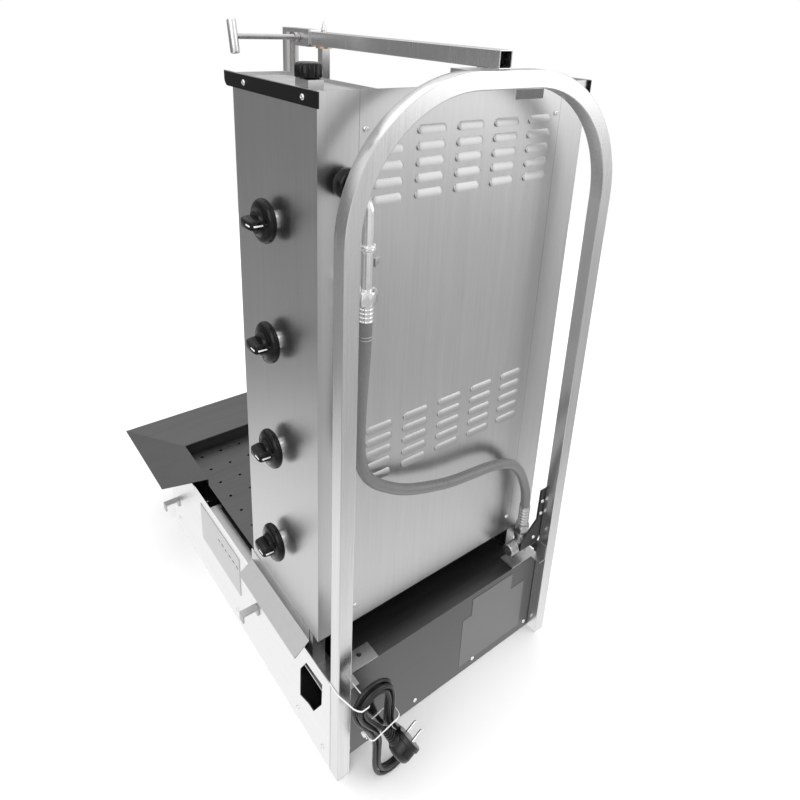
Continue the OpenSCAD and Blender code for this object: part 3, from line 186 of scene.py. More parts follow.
def placeGroup(tree, name, values):
    node = tree.nodes.new("ShaderNodeGroup")
    node.node_tree = shaderGroups[name]
    for socket, value in values.items():
        feed(tree, node.inputs[socket], value)
    return node


def startMaterial(name):
    material = bpy.data.materials.new(name)
    material.use_nodes = True
    tree = material.node_tree
    shader = tree.nodes["Principled BSDF"]
    place = tree.nodes.new("ShaderNodeTexCoord").outputs["Object"]
    return material, tree, shader, place


def addBump(tree, shader, height, strength, distance):
    bump = tree.nodes.new("ShaderNodeBump")
    bump.inputs["Strength"].default_value = strength
    bump.inputs["Distance"].default_value = distance
    tree.links.new(height, bump.inputs["Height"])
    tree.links.new(bump.outputs["Normal"], shader.inputs["Normal"])


def grey(value, warmth=0.0):
    return (value * (1 + warmth), value, value * (1 - warmth), 1.0)


# Sheet and tube metals: grain is the direction that the polishing lines run in
metalColumns = ("dark", "light", "rough", "grain", "density", "depth", "warmth")
metalRows = {
    "steelUpright": (0.52, 0.62, (0.26, 0.36), "z", 700, 0.35, 0.0),
    "hoodSteel": (0.45, 0.55, (0.34, 0.44), "none", 500, 0.3, 0.0),
    "steelLevelX": (0.50, 0.64, (0.28, 0.40), "x", 700, 0.35, 0.0),
    "steelLevelY": (0.74, 0.88, (0.28, 0.40), "y", 700, 0.35, 0.0),
    # the next row is sheet steel darkened to near black: painted shade and painted dark reflections for
    # the sheets that sit in shade
    "steelPaintedShade": (0.10, 0.14, (0.30, 0.44), "x", 500, 0.3, 0.0),
    "tubeSteel": (0.60, 0.74, (0.17, 0.27), "z", 900, 0.2, 0.0),
    "zincSteel": (0.40, 0.56, (0.30, 0.46), "none", 160, 0.5, 0.0),
    "chromeMetal": (0.72, 0.86, (0.07, 0.15), "none", 300, 0.1, 0.0),
    "brassMetal": (0.44, 0.62, (0.26, 0.40), "none", 400, 0.3, 0.32),
    "greyCasting": (0.13, 0.20, (0.45, 0.60), "none", 260, 1.0, 0.0),
}
metalSettings = {name: dict(zip(metalColumns, row)) for name, row in metalRows.items()}
metalMarks = {"size": 5.0, "amount": 0.35, "lines": 0.8, "onTone": 0.5, "onRough": 0.12, "bump": 0.25,
              "relief": 0.0002}
grainStretch = {"x": (0.02, 1.0, 1.0), "y": (1.0, 0.02, 1.0), "z": (1.0, 1.0, 0.02),
                "none": (1.0, 1.0, 1.0)}
materials = {}


def makeSurface(name, settings, stretch, depth, marksOf):
    # tone and roughness follow the grain and the handling marks
    material, tree, shader, place = startMaterial(name)
    materials[name] = material
    grain = placeGroup(tree, "grain", {"Place": place, "Stretch": stretch, "Density": settings["density"],
                                       "Depth": depth})
    marks = placeGroup(tree, "smudges", {"Place": place, "Size": marksOf["size"],
                                         "Amount": marksOf["amount"]})
    lines = grain.outputs["Lines"]
    mask = mathNode(tree, "ADD", rangeNode(tree, lines, 0.3, 0.7, 0.0, marksOf["lines"]),
                    mathNode(tree, "MULTIPLY", marks.outputs["Marks"], marksOf["onTone"]), True)
    warmth = settings.get("warmth", 0.0)
    tone = placeGroup(tree, "tone", {"Dark": grey(settings["dark"], warmth),
                                     "Light": grey(settings["light"], warmth),
                                     "Mask": mask})
    roughness = mathNode(tree, "ADD", rangeNode(tree, lines, 0.3, 0.7, *settings["rough"]),
                         mathNode(tree, "MULTIPLY", marks.outputs["Marks"], marksOf["onRough"]), True)
    tree.links.new(tone.outputs["Tone"], shader.inputs["Base Color"])
    tree.links.new(roughness, shader.inputs["Roughness"])
    return tree, shader, grain


def makeMetal(name, settings):
    tree, shader, grain = makeSurface(name, settings, grainStretch[settings["grain"]], settings["depth"],
                                      metalMarks)
    shader.inputs["Metallic"].default_value = 1.0
    addBump(tree, shader, grain.outputs["Height"], metalMarks["bump"], metalMarks["relief"])


# Plastics, rubbers and ceramic
softSettings = {
    "knobBlack": {"dark": 0.002, "light": 0.004, "rough": (0.06, 0.11), "density": 500, "bump": 0.02,
                  "specular": 0.26},
    "trimBlack": {"dark": 0.002, "light": 0.005, "rough": (0.40, 0.52), "density": 420, "bump": 0.2,
                  "specular": 0.22},
    "cordRubber": {"dark": 0.003, "light": 0.008, "rough": (0.26, 0.38), "density": 380, "bump": 0.1},
    "hoseRubber": {"dark": 0.12, "light": 0.17, "rough": (0.24, 0.36), "density": 240, "bump": 0.12},
    "tieNylon": {"dark": 0.72, "light": 0.84, "rough": (0.30, 0.42), "density": 300, "bump": 0.08},
    "plaqueCeramic": {"dark": 0.58, "light": 0.74, "rough": (0.75, 0.90), "density": 500, "bump": 0.5,
                      "warmth": 0.07},
    "labelGrey": {"dark": 0.10, "light": 0.13, "rough": (0.30, 0.40), "density": 200, "bump": 0.03},
    "pointerWhite": {"dark": 0.84, "light": 0.92, "rough": (0.30, 0.40), "density": 300, "bump": 0.02},
}
softMarks = {"size": 14.0, "amount": 0.4, "lines": 0.6, "onTone": 1.0, "onRough": 0.10, "relief": 0.0003}


def makePlain(name, settings):
    tree, shader, grain = makeSurface(name, settings, grainStretch["none"], 1.0, softMarks)
    shader.inputs["Specular IOR Level"].default_value = settings.get("specular", 0.5)
    addBump(tree, shader, grain.outputs["Height"], settings["bump"], softMarks["relief"])


for name, settings in metalSettings.items():
    makeMetal(name, settings)
for name, settings in softSettings.items():
    makePlain(name, settings)
print("stage: materials made,", len(materials))


# The finish of each piece that the frame already gives its final shape
finishOfNode = {
    "steelUpright": ["control_panel", "far_side_panel", "rear_cover", "tower_flanges"],
    "steelLevelX": ["tower_top_plates", "front_panel", "access_cover", "grease_drawer"],
    "steelLevelY": ["side_panel_right", "side_panel_left"],
    # these pieces take the darkened steel, whose dark colour is painted shade
    "steelPaintedShade": ["rear_panel", "bottom_panel", "deck_plate", "splash_wing", "perforated_tray", "drip_pan",
                 "tower_floor", "burner_housings", "burner_guard", "meat_plate"],
    "tubeSteel": ["frame_tube", "top_arm", "arm_carriage", "t_bar", "spit"],
    "zincSteel": ["slide_rails", "side_lugs", "gas_manifold", "tower_shoes", "drive_socket",
                  "clamp_screw"],
    "chromeMetal": ["knob_bezels", "spindle_1", "spindle_2", "spindle_3", "spindle_4"],
    "brassMetal": ["spit_bearing", "gas_taps"],
    "greyCasting": ["gear_motor"],
    "trimBlack": ["cap_trims", "switch_housing"],
    "knobBlack": ["switch_rocker"],
    "plaqueCeramic": ["burner_plaques"],
}


def setFinish(piece, materialName):
    piece.data.materials.clear()
    piece.data.materials.append(materials[materialName])


# How far the edges of these pieces are rounded, in millimetres
softEdgeOfNode = {
    "frame_tube": 1.2, "top_arm": 0.9, "arm_carriage": 0.8, "t_bar": 0.8, "cap_trims": 0.5,
    "grease_drawer": 0.5, "side_lugs": 0.8, "burner_plaques": 0.4, "switch_housing": 0.8,
    "switch_rocker": 0.6, "clamp_screw": 0.3,
}


def softenEdges(piece, width):
    weld = piece.modifiers.new("joinFacets", "WELD")
    weld.merge_threshold = 1e-6
    bevel = piece.modifiers.new("softEdges", "BEVEL")
    bevel.width = width
    bevel.segments = 2
    bevel.limit_method = "ANGLE"
    bevel.angle_limit = math.radians(40)


for materialName, names in finishOfNode.items():
    for name in names:
        setFinish(nodes[name], materialName)
for name, width in softEdgeOfNode.items():
    softenEdges(nodes[name], width * mm)
print("stage: frame finishes set")


# Mesh helpers: places and sizes are in millimetres, and only a route that is swept is in metres
def linkMesh(name, bm, materialName, smooth=True, angle=35):
    mesh = bpy.data.meshes.new(name)
    bmesh.ops.recalc_face_normals(bm, faces=bm.faces)
    bm.to_mesh(mesh)
    bm.free()
    piece = bpy.data.objects.new(name, mesh)
    scene.collection.objects.link(piece)
    mesh.materials.append(materials[materialName])
    if smooth:
        mesh.shade_smooth()
        mesh.set_sharp_from_angle(angle=math.radians(angle))
    return piece


def moved(x, y, z):
    return Matrix.Translation(Vector((x, y, z)) * mm)


def turned(degrees, axis):
    return Matrix.Rotation(math.radians(degrees), 4, axis)


def boxOf(name):
    # the lowest and highest corner of a node
    low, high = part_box(name)
    return low / mm, high / mm


def joinRings(bm, rings, capped=True):
    # faces between neighbouring rings of points, and one over each end
    count = len(rings[0])
    for below, above in zip(rings, rings[1:]):
        for k in range(count):
            bm.faces.new((below[k], below[(k + 1) % count], above[(k + 1) % count], above[k]))
    if capped:
        bm.faces.new(list(reversed(rings[0])))
        bm.faces.new(rings[-1])


def lathe(bm, profile, turn, steps, radiusAt=None):
    # a ring of points for each (radius, height) of the profile, closed at both ends
    rings = []
    for radius, height in profile:
        ring = []
        for step in range(steps):
            angle = 2 * math.pi * step / steps
            r = radius if radiusAt is None else radiusAt(radius, angle)
            place = Vector((r * math.cos(angle), r * math.sin(angle), height)) * mm
            ring.append(bm.verts.new(turn @ place))
        rings.append(ring)
    joinRings(bm, rings)


def smoothRoute(points, perSpan):
    # a curve through all points, with the same count of steps in each span
    points = [Vector(p) for p in points]
    padded = [2 * points[0] - points[1]] + points + [2 * points[-1] - points[-2]]
    route = []
    for index in range(1, len(padded) - 2):
        before, start, end, after = padded[index - 1:index + 3]
        for step in range(perSpan):
            t = step / perSpan
            square = 2 * before - 5 * start + 4 * end - after
            cube = 3 * start - before - 3 * end + after
            route.append(0.5 * ((2 * start) + (end - before) * t + square * t * t + cube * t ** 3))
    route.append(points[-1])
    return route


def sweep(bm, route, radius, sides):
    # a closed tube along the route, whose points are in metres; its rings don't twist
    last = len(route) - 1
    tangents = [(route[min(i + 1, last)] - route[max(i - 1, 0)]).normalized() for i in range(last + 1)]
    normal = tangents[0].orthogonal().normalized()
    angles = [2 * math.pi * k / sides for k in range(sides)]
    rings = []
    for centre, tangent in zip(route, tangents):
        normal = (normal - normal.dot(tangent) * tangent).normalized()
        side = tangent.cross(normal)
        rings.append([bm.verts.new(centre + radius * mm * (math.cos(a) * normal + math.sin(a) * side))
                      for a in angles])
    joinRings(bm, rings)


def addBox(bm, low, high, turn=Matrix.Identity(4), bevel=0.0):
    start = len(bm.verts)
    corners = [(x, y, z) for x in (low[0], high[0]) for y in (low[1], high[1]) for z in (low[2], high[2])]
    verts = [bm.verts.new(Vector(corner) * mm) for corner in corners]
    for face in ((0, 1, 3, 2), (4, 6, 7, 5), (0, 4, 5, 1), (2, 3, 7, 6), (0, 2, 6, 4), (1, 5, 7, 3)):
        bm.faces.new([verts[i] for i in face])
    if bevel:
        edges = list({edge for vert in verts for edge in vert.link_edges})
        bmesh.ops.bevel(bm, geom=edges, offset=bevel * mm, segments=2, profile=0.5, affect="EDGES")
    bm.verts.ensure_lookup_table()
    for vert in bm.verts[start:]:
        vert.co = turn @ vert.co


def fit(piece, slotName, body, *replaced):
    # what the piece counts as (not used), the body it rides on and the nodes it stands for
    if replaced:
        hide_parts(*replaced)
    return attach(piece, body)


# Faces that several pieces sit on, and the line of the gas fittings
faceSettings = {"rearPanelY": 333.0, "coverY": 295.0, "gasY": 319.0}


# Power cord: straight out of the strain relief, into the hank and out to the plug, along the same
# points as the frame's cord
cordSettings = {
    "diameter": 6.0,
    "lead": [(149, 353, 80), (149, 356, 80), (149.2, 364, 81.8), (150, 371.7, 87), (151, 376.9, 94.8),
             (152.2, 378.6, 103)],
    "tail": [(172.5, 387, 119.5), (169, 388.9, 115.5)],
    "hankAt": (158, 382, 97),
    "rollDegrees": 15.0,
    "foldRadius": 18.0,
    "run": 128.0,
    "draw": 14.0,
    "turns": 3.4,
    "pitch": 6.9,
    "layerStep": 6.6,
    "start": 0.58,
    "stepsPerTurn": 24,
    "plugAt": (145, 408, 80),
    "plugTiltDegrees": 25.0,
    "plugTurnDegrees": 33.0,
    "plugDiameter": 38.0,
    "plugThickness": 28.0,
    "neckLength": 22.0,
    "neckStart": [(9.0, -6.0), (9.0, -1.0), (8.2, 1.0)],
    "neckSize": 7.4,
    "neckShrink": 0.62,
    "neckRibs": 5,
    "neckPitch": 3.8,
    "gripRibs": 4,
    "gripStart": 9.5,
    "gripPitch": 2.6,
    "pinsApart": 19.0,
    "pinLength": 19.0,
    "pinDiameter": 4.8,
    "clipAt": 17.2,
}


def hankRoute(s):
    steps = round(s["turns"] * s["stepsPerTurn"])
    end = s["start"] + 4 * steps / s["stepsPerTurn"]
    climb = 2 * math.floor((s["start"] + end) / 4)
    peak = max(end - climb - 0.5, climb + 0.5 - s["start"]) / 4
    roll = math.radians(s["rollDegrees"])
    half = s["run"] / 2
    points = []
    for index in range(steps + 1):
        at = s["start"] + 4 * index / s["stepsPerTurn"]
        wide = s["foldRadius"] + s["pitch"] * (peak - abs(at - climb - 0.5) / 4)
        layer = s["layerStep"] * (min(max(at - climb, 0), 1) - 0.5)
        part, share = math.floor(at) % 4, at - math.floor(at)
        up = 1 if part < 2 else -1
        if part % 2 == 0:
            v = up * (share * s["run"] - half)
            u = -up * (wide - s["draw"] * math.cos(math.pi * v / s["run"]) ** 2)
        else:
            u = -up * wide * math.cos(math.pi * share)
            v = up * (half + wide * math.sin(math.pi * share))
        points.append((s["hankAt"][0] + u * math.cos(roll) + v * math.sin(roll), s["hankAt"][1] + layer,
                       s["hankAt"][2] + v * math.cos(roll) - u * math.sin(roll)))
    return points


plugTurn = (moved(*cordSettings["plugAt"]) @ turned(cordSettings["plugTurnDegrees"], "Y")
            @ turned(cordSettings["plugTiltDegrees"], "X"))


def makePlug(s):
    bm = bmesh.new()
    half, radius = s["plugThickness"] / 2, s["plugDiameter"] / 2
    body = [(radius - 4.0, -half), (radius - 1.2, -half), (radius - 0.3, -half + 0.6),
            (radius, -half + 2.0), (radius, -half + 6.5), (radius - 1.6, -half + 7.4),
            (radius - 1.9, half - 9.0), (radius - 3.2, half - 4.0), (radius - 6.0, half - 1.2),
            (radius - 9.5, half), (radius - 16, half)]
    lathe(bm, body, plugTurn @ turned(90, "Y"), 64)
    neck = [(size, radius + up) for size, up in s["neckStart"]]
    for index in range(s["neckRibs"]):  # the ribs get thinner towards the cord
        low = radius + 1.5 + index * s["neckPitch"]
        size = s["neckSize"] - index * s["neckShrink"]
        neck += [(size, low), (size, low + 2.2), (size - 1.3, low + 2.6), (size - 1.3, low + 3.5)]
    neck += [(4.4, radius + s["neckLength"] - 1.0), (3.6, radius + s["neckLength"])]
    lathe(bm, neck, plugTurn, 40)
    for side in (-1, 1):  # grip ribs on the two flat sides
        for index in range(s["gripRibs"]):
            low = s["gripStart"] - half + index * s["gripPitch"]
            out = side * (radius - 2.6)
            addBox(bm, (low, out - 1.0, -6.5), (low + 1.3, out + 1.6, 6.5), plugTurn, 0.4)
    return linkMesh("plugBody", bm, "cordRubber")


def makePlugPins(s):
    bm = bmesh.new()
    half, radius, length = s["plugThickness"] / 2, s["pinDiameter"] / 2, s["pinLength"]
    pin = [(radius, -1), (radius, length - 2.5), (radius - 0.3, length - 1.1),
           (radius - 1.1, length - 0.2), (radius - 1.9, length)]
    for side in (-1, 1):
        lathe(bm, pin, plugTurn @ moved(-half, side * s["pinsApart"] / 2, 0) @ turned(-90, "Y"), 24)
    for side in (-1, 1):  # earth clips in the rim
        at = side * s["clipAt"]
        addBox(bm, (-half - 0.05, -2.2, at - 0.9), (-half + 11.0, 2.2, at + 1.5), plugTurn, 0.3)
    return linkMesh("plugPins", bm, "chromeMetal")


reliefSettings = {
    "collar": [(7.6, -5.4), (10.6, -5.4), (10.6, -1.6), (7.6, -1.5), (7.6, -0.05), (10.6, 0.0),
               (11.0, 0.5), (11.0, 2.4), (10.4, 3.0), (8.0, 3.2)],
    "ribs": 4,
    "ribStart": 3.6,
    "ribPitch": 3.7,
    "ribSize": 7.7,
    "ribShrink": 0.85,
    "tip": [(4.6, 18.6), (4.2, 19.6), (3.2, 20.0)],
}


def makeStrainRelief(s):
    low, high = boxOf("cord_gland")
    profile = list(s["collar"])
    for index in range(s["ribs"]):
        at = s["ribStart"] + index * s["ribPitch"]
        size = s["ribSize"] - index * s["ribShrink"]
        profile += [(size, at), (size, at + 2.2), (size - 1.4, at + 2.6), (size - 1.4, at + 3.4)]
    profile += s["tip"]
    bm = bmesh.new()
    place = moved((low.x + high.x) / 2, faceSettings["rearPanelY"], (low.z + high.z) / 2)
    lathe(bm, profile, place @ turned(-90, "X"), 40)
    return fit(linkMesh("strainRelief", bm, "cordRubber"), "black_trim", "base", "cord_gland")


def makeCord(s):
    neckEnd = plugTurn @ (Vector((0, 0, s["plugDiameter"] / 2 + s["neckLength"])) * mm)
    route = smoothRoute([Vector(p) * mm for p in s["lead"] + hankRoute(s) + s["tail"]] + [neckEnd], 6)
    bm = bmesh.new()
    sweep(bm, route, s["diameter"] / 2, 16)
    cord = linkMesh("powerCord", bm, "cordRubber", angle=60)
    return fit(cord, "cord_black", "base", "power_cord", "cord_hank"), route


def flatBand(route, width, thick, across):
    # a flat strip along a closed route, as wide as a cable tie
    section = ((-1, -0.6), (-0.8, -1), (0.8, -1), (1, -0.6), (1, 0.6), (0.8, 1), (-0.8, 1), (-1, 0.6))
    bm = bmesh.new()
    rings = []
    for index, centre in enumerate(route):
        along = (route[(index + 1) % len(route)] - route[index - 1]).normalized()
        out = across.cross(along).normalized()
        rings.append([bm.verts.new((centre + a * across * width / 2 + b * out * thick / 2) * mm)
                      for a, b in section])
    joinRings(bm, rings + rings[:1], capped=False)
    return bm


def roundedLoop(x0, x1, y0, y1, radius, perCorner=8):
    loop = []
    for cx, cy, start in ((x1 - radius, y1 - radius, 0), (x0 + radius, y1 - radius, 90),
                          (x0 + radius, y0 + radius, 180), (x1 - radius, y0 + radius, 270)):
        for step in range(perCorner + 1):
            angle = math.radians(start + 90 * step / perCorner)
            loop.append(Vector((cx + radius * math.cos(angle), cy + radius * math.sin(angle), 0)))
    return loop


tieSettings = {
    "width": 2.6,
    "thick": 0.9,
    "waistAt": 24.0,
    "waistLoop": (-22.9, 25.4, -7.0, 15.8),  # low and high x, low and high y
    "waistRadius": 6.0,
    "legHeight": 169.75,
    "legPath": [(189.4, 332.4), (212.6, 332.4), (212.6, 353.5), (206.3, 380), (203.5, 385),
                (199.5, 388.9), (188.5, 388.9), (186.1, 386)],  # round the leg and the upper loops
    "legRadius": 1.2,
}


def roundedPath(points, radius, perCorner=6):
    # a closed path whose corners are rounded by a short curve
    path = []
    count = len(points)
    for index, point in enumerate(points):
        here = Vector((*point, 0))
        before, after = Vector((*points[index - 1], 0)), Vector((*points[(index + 1) % count], 0))
        start = here + (before - here).normalized() * min(radius, (before - here).length * 0.4)
        end = here + (after - here).normalized() * min(radius, (after - here).length * 0.4)
        for step in range(perCorner + 1):
            t = step / perCorner
            path.append(start.lerp(here, t).lerp(here.lerp(end, t), t))
    return path


def makeTies(s, c):
    ties = []
    waistTurn = moved(*c["hankAt"]) @ turned(c["rollDegrees"], "Y") @ moved(0, 0, s["waistAt"])
    waistPath = roundedLoop(*s["waistLoop"], s["waistRadius"])
    legPath = roundedPath(s["legPath"], s["legRadius"])
    for name, path, turn in (("waistTie", waistPath, waistTurn),
                             ("legTie", legPath, moved(0, 0, s["legHeight"]))):
        bm = flatBand(path, s["width"], s["thick"], Vector((0, 0, 1)))
        if name == "waistTie":  # its lock and the cut end
            x = s["waistLoop"][1]
            addBox(bm, (x + 0.2, -3.0, -2.4), (x + 4.4, 3.0, 2.4), bevel=0.6)
            addBox(bm, (x + 1.5, 2.6, -1.5), (x + 2.6, 7.5, 1.5), bevel=0.3)
        bmesh.ops.transform(bm, matrix=turn, verts=bm.verts)
        ties.append(fit(linkMesh(name, bm, "tieNylon"), "tie_white", "base", "cord_ties"))
    return ties


strainRelief = makeStrainRelief(reliefSettings)
plugBody = fit(makePlug(cordSettings), "cord_black", "base", "power_plug")
plugPins = fit(makePlugPins(cordSettings), "chrome_trim", "base", "power_plug")
ties = makeTies(tieSettings, cordSettings)
powerCord, cordRoute = makeCord(cordSettings)


# Gas hose: from the fitting at the tower's pipe, down and across to the elbow
hoseSettings = {
    "diameter": 15.0,
    "route": [(160, 678), (160, 660), (161, 630), (163, 594), (165, 550), (165, 515), (162, 490),
              (154, 468), (140, 450), (120, 434), (98, 420), (73, 409), (45, 400), (10, 391),
              (-30, 386), (-60, 383), (-86, 378), (-108, 370), (-126, 357), (-141, 338), (-152, 316),
              (-160, 292), (-163, 266)],
    "bendLow": 400.0,
    "bendHigh": 620.0,
}


def makeHose(s):
    y = faceSettings["gasY"]
    route = smoothRoute([Vector((x, y, z)) * mm for x, z in s["route"]], 8)
    bm = bmesh.new()
    sweep(bm, route, s["diameter"] / 2, 24)
    hose = linkMesh("gasHose", bm, "hoseRubber", angle=60)
    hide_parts("gas_hose")
    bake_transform(hose)
    return hose, route


gasHose, hoseRoute = makeHose(hoseSettings)


# Gas fittings: the pipe from the tower down to the hose, and the elbow at the other end
fittingSettings = {
    "pipeX": 160.0,
    "pipeDiameter": 13.0,
    "pipeTop": 815.0,
    "pipeLow": 716.0,
    "pipeBend": 12.0,
    "beadAt": 759.5,
    "nut": 22.0,
    "nutHeight": 16.0,
    "ferrule": 17.4,
    "inletX": -163.0,
    "inletNutLow": 214.0,
    "inletNut": 20.5,
    "inletNutHeight": 13.0,
    "elbowLow": 177.5,
    "elbowZ": 188.0,
    "elbowEnd": -147.5,
    "elbow": 21.0,
    "thread": 20.95,
    "threadRidges": 8,
    "threadPitch": 1.6,
    "lugLow": 196.0,
    "lugHigh": 208.0,
    "hoseLow": 266.0,
    "ringsAt": (655.5, 659.5),
}


def hexNut(bm, place, height, across):
    # six flats with rounded chamfers at both ends
    def radiusAt(radius, angle):
        return min(across / 2 / math.cos((angle + math.pi / 6) % (math.pi / 3) - math.pi / 6), radius)
    corner, rim, bore = across / 2 / math.cos(math.pi / 6), across * 0.49, across * 0.36
    chamfer = height * 0.12
    profile = [(bore, 0), (rim, 0), (corner, chamfer), (corner, height - chamfer), (rim, height),
               (bore, height)]
    lathe(bm, profile, moved(*place), 48, radiusAt)


def crimpProfile(radius, low, high, grooves):
    # a pressed ferrule: short bands between shallow grooves
    profile = [(radius * 0.86, low), (radius, low + 0.6)]
    step = (high - low - 2.4) / grooves
    for index in range(grooves):
        at = low + 1.2 + index * step
        profile += [(radius, at + step * 0.1), (radius * 0.91, at + step * 0.3),
                    (radius * 0.91, at + step * 0.45), (radius, at + step * 0.65)]
    return profile + [(radius, high - 0.6), (radius * 0.86, high)]


def makeInletPipe(s):
    bm = bmesh.new()
    low = boxOf("inlet_pipe")[0]
    x, y, top = s["pipeX"], faceSettings["gasY"], s["pipeTop"]
    radius, bend = s["pipeDiameter"] / 2, s["pipeBend"]
    route = [(x, y, s["pipeLow"] - 4), (x, y, top - bend)]
    for step in range(1, 9):
        angle = math.radians(90 * step / 8)
        route.append((x, y - bend * (1 - math.cos(angle)), top - bend * (1 - math.sin(angle))))
    route.append((x, low.y, top))
    sweep(bm, [Vector(point) * mm for point in route], radius, 32)
    axis = moved(x, y, 0)
    nutLow = s["pipeLow"] - s["nutHeight"]
    hexNut(bm, (x, y, nutLow), s["nutHeight"], s["nut"])
    lathe(bm, crimpProfile(s["ferrule"] / 2, low.z, nutLow - 0.1, 4), axis, 40)
    bead = [(0, 0), (2.0, 0.8), (2.6, 2.0), (2.6, 3.5), (1.4, 4.5), (2.6, 5.5), (2.6, 7.0), (2.0, 8.1),
            (0, 8.7)]
    lathe(bm, [(radius + out, s["beadAt"] + up) for out, up in bead], axis, 40)
    rose = [(-1, -0.3), (6.6, 0.0), (6.9, 0.6), (6.2, 1.4), (2.2, 2.2), (-1, 2.4)]
    outwards = moved(x, faceSettings["coverY"], top) @ turned(-90, "X")
    lathe(bm, [(radius + out, up) for out, up in rose], outwards, 40)
    fit(linkMesh("inletPipe", bm, "chromeMetal"), "chrome_trim", "tower", "inlet_pipe")


def makeGasInlet(s):
    bm = bmesh.new()
    x, y, nutLow = s["inletX"], faceSettings["gasY"], s["inletNutLow"]
    axis = moved(x, y, 0)
    lathe(bm, crimpProfile(s["ferrule"] / 2, nutLow + 16.5, s["hoseLow"], 6), axis, 40)
    hexNut(bm, (x, y, nutLow), s["inletNutHeight"], s["inletNut"])
    collar = [(8.0, 13.0), (10.4, 13.4), (10.8, 14.6), (10.4, 16.2), (8.0, 16.6)]
    lathe(bm, [(r, nutLow + up) for r, up in collar], axis, 40)
    half, tall = s["elbow"] / 2, nutLow - s["elbowLow"]
    body = [(half - 3, 0), (half - 1, 0.5), (half, 2.0), (half, tall - 3), (half - 0.8, tall - 1),
            (half - 3, tall)]
    lathe(bm, [(r, s["elbowLow"] + up) for r, up in body], axis, 48)
    reach, thread = s["elbowEnd"] - x, s["thread"] / 2
    arm = [(half - 2, -2), (half, 0), (half, reach - 1.2), (half - 1.0, reach), (thread - 0.3, reach)]
    for index in range(s["threadRidges"]):
        at = reach + 0.6 + index * s["threadPitch"]
        arm += [(thread - 1.1, at), (thread, at + 0.8)]
    arm += [(thread - 1.2, reach + 14.0), (5.6, reach + 14.2), (5.4, reach + 4)]
    lathe(bm, arm, moved(x, y, s["elbowZ"]) @ turned(90, "Y"), 48)
    low, high = boxOf("gas_inlet")
    addBox(bm, (low.x + 1.5, y, s["lugLow"]), (x + 9, high.y, s["lugHigh"]), bevel=1.0)
    fit(linkMesh("gasInlet", bm, "zincSteel"), "zinc_steel", "base", "gas_inlet")


def makeHoseRings(s):
    # two pressed rings round the hose's upper end
    bm = bmesh.new()
    radius = hoseSettings["diameter"] / 2
    for at in s["ringsAt"]:
        ring = [(radius - 1, at), (radius + 0.25, at + 0.3), (radius + 0.45, at + 0.9),
                (radius + 0.25, at + 1.5), (radius - 1, at + 1.8)]
        lathe(bm, ring, moved(s["pipeX"], faceSettings["gasY"], 0), 32)
    fit(linkMesh("hoseRings", bm, "zincSteel"), "zinc_steel", "tower")


makeInletPipe(fittingSettings)
makeGasInlet(fittingSettings)
makeHoseRings(fittingSettings)
print("stage: gas fittings made")


# Screws: low domed heads with a cross recess; dome lists shares of the radius and of the height
screwSettings = {
    "diameter": 7.0,
    "height": 2.2,
    "recess": 0.9,
    "crossReach": 0.58,
    "crossWidth": 0.15,
    "steps": 48,
    "dome": [(0.9, -0.2), (1.0, 0.1), (0.98, 0.35), (0.88, 0.66), (0.72, 0.86), (0.6, 0.93),
             (0.56, 0.95), (0.42, 0.98), (0.28, 1.0), (0.14, 1.0), (0.03, 1.0)],
    "bracketDiameter": 6.6,
    "bracketPlaces": [(-187.0, 272.0), (-187.0, 248.0), (-176.0, 205.0)],  # x and z on the dark plate
}


def screwHead(bm, turn, s, diameter):
    radius = diameter / 2
    rings = []
    for share, rise in s["dome"]:
        ring = []
        for step in range(s["steps"]):
            angle = 2 * math.pi * step / s["steps"]
            x, y = share * radius * math.cos(angle), share * radius * math.sin(angle)
            inCross = share < s["crossReach"] and min(abs(x), abs(y)) < radius * s["crossWidth"]
            height = rise * s["height"] - (s["recess"] if inCross else 0)
            ring.append(bm.verts.new(turn @ (Vector((x, y, height)) * mm)))
        rings.append(ring)
    joinRings(bm, rings)


def solidCorners(name):
    # the lowest and highest corner of each separate solid of a node, in metres
    bm = bmesh.new()
    bm.from_mesh(nodes[name].data)
    bmesh.ops.remove_doubles(bm, verts=bm.verts, dist=1e-6)
    unseen, solids = set(bm.verts), []
    while unseen:
        stack, points = [unseen.pop()], []
        while stack:
            vert = stack.pop()
            points.append(vert.co.copy())
            for edge in vert.link_edges:
                other = edge.other_vert(vert)
                if other in unseen:
                    unseen.remove(other)
                    stack.append(other)
        low = Vector([min(p[i] for p in points) for i in range(3)])
        high = Vector([max(p[i] for p in points) for i in range(3)])
        solids.append((low, high))
    bm.free()
    return sorted(solids, key=lambda pair: tuple(round(v, 5) for v in pair[0]))


def makeScrews(name, nodeName, body, s):
    bm = bmesh.new()
    for index, (low, high) in enumerate(solidCorners(nodeName)):
        middle, size = (low + high) / 2, high - low
        if size.x < size.y:
            side = 1 if middle.x > 0 else -1
            place = Vector((low.x if side > 0 else high.x, middle.y, middle.z))
            turn = Matrix.Translation(place) @ turned(90 * side, "Y")
        else:
            turn = Matrix.Translation(Vector((middle.x, low.y, middle.z))) @ turned(-90, "X")
        screwHead(bm, turn @ turned(37 * index, "Z"), s, s["diameter"])
    fit(linkMesh(name, bm, "chromeMetal", angle=30), "chrome_trim", body, nodeName)


def makeBracketScrews(s):
    bm = bmesh.new()
    for index, (x, z) in enumerate(s["bracketPlaces"]):
        turn = moved(x, faceSettings["rearPanelY"], z) @ turned(-90, "X")
        screwHead(bm, turn @ turned(25 + 31 * index, "Z"), s, s["bracketDiameter"])
    fit(linkMesh("bracketScrews", bm, "chromeMetal", angle=30), "chrome_trim", "base")


makeScrews("towerScrewHeads", "tower_screws", "tower", screwSettings)
makeScrews("baseScrewHeads", "base_screws", "base", screwSettings)
makeBracketScrews(screwSettings)
print("stage: screws made")


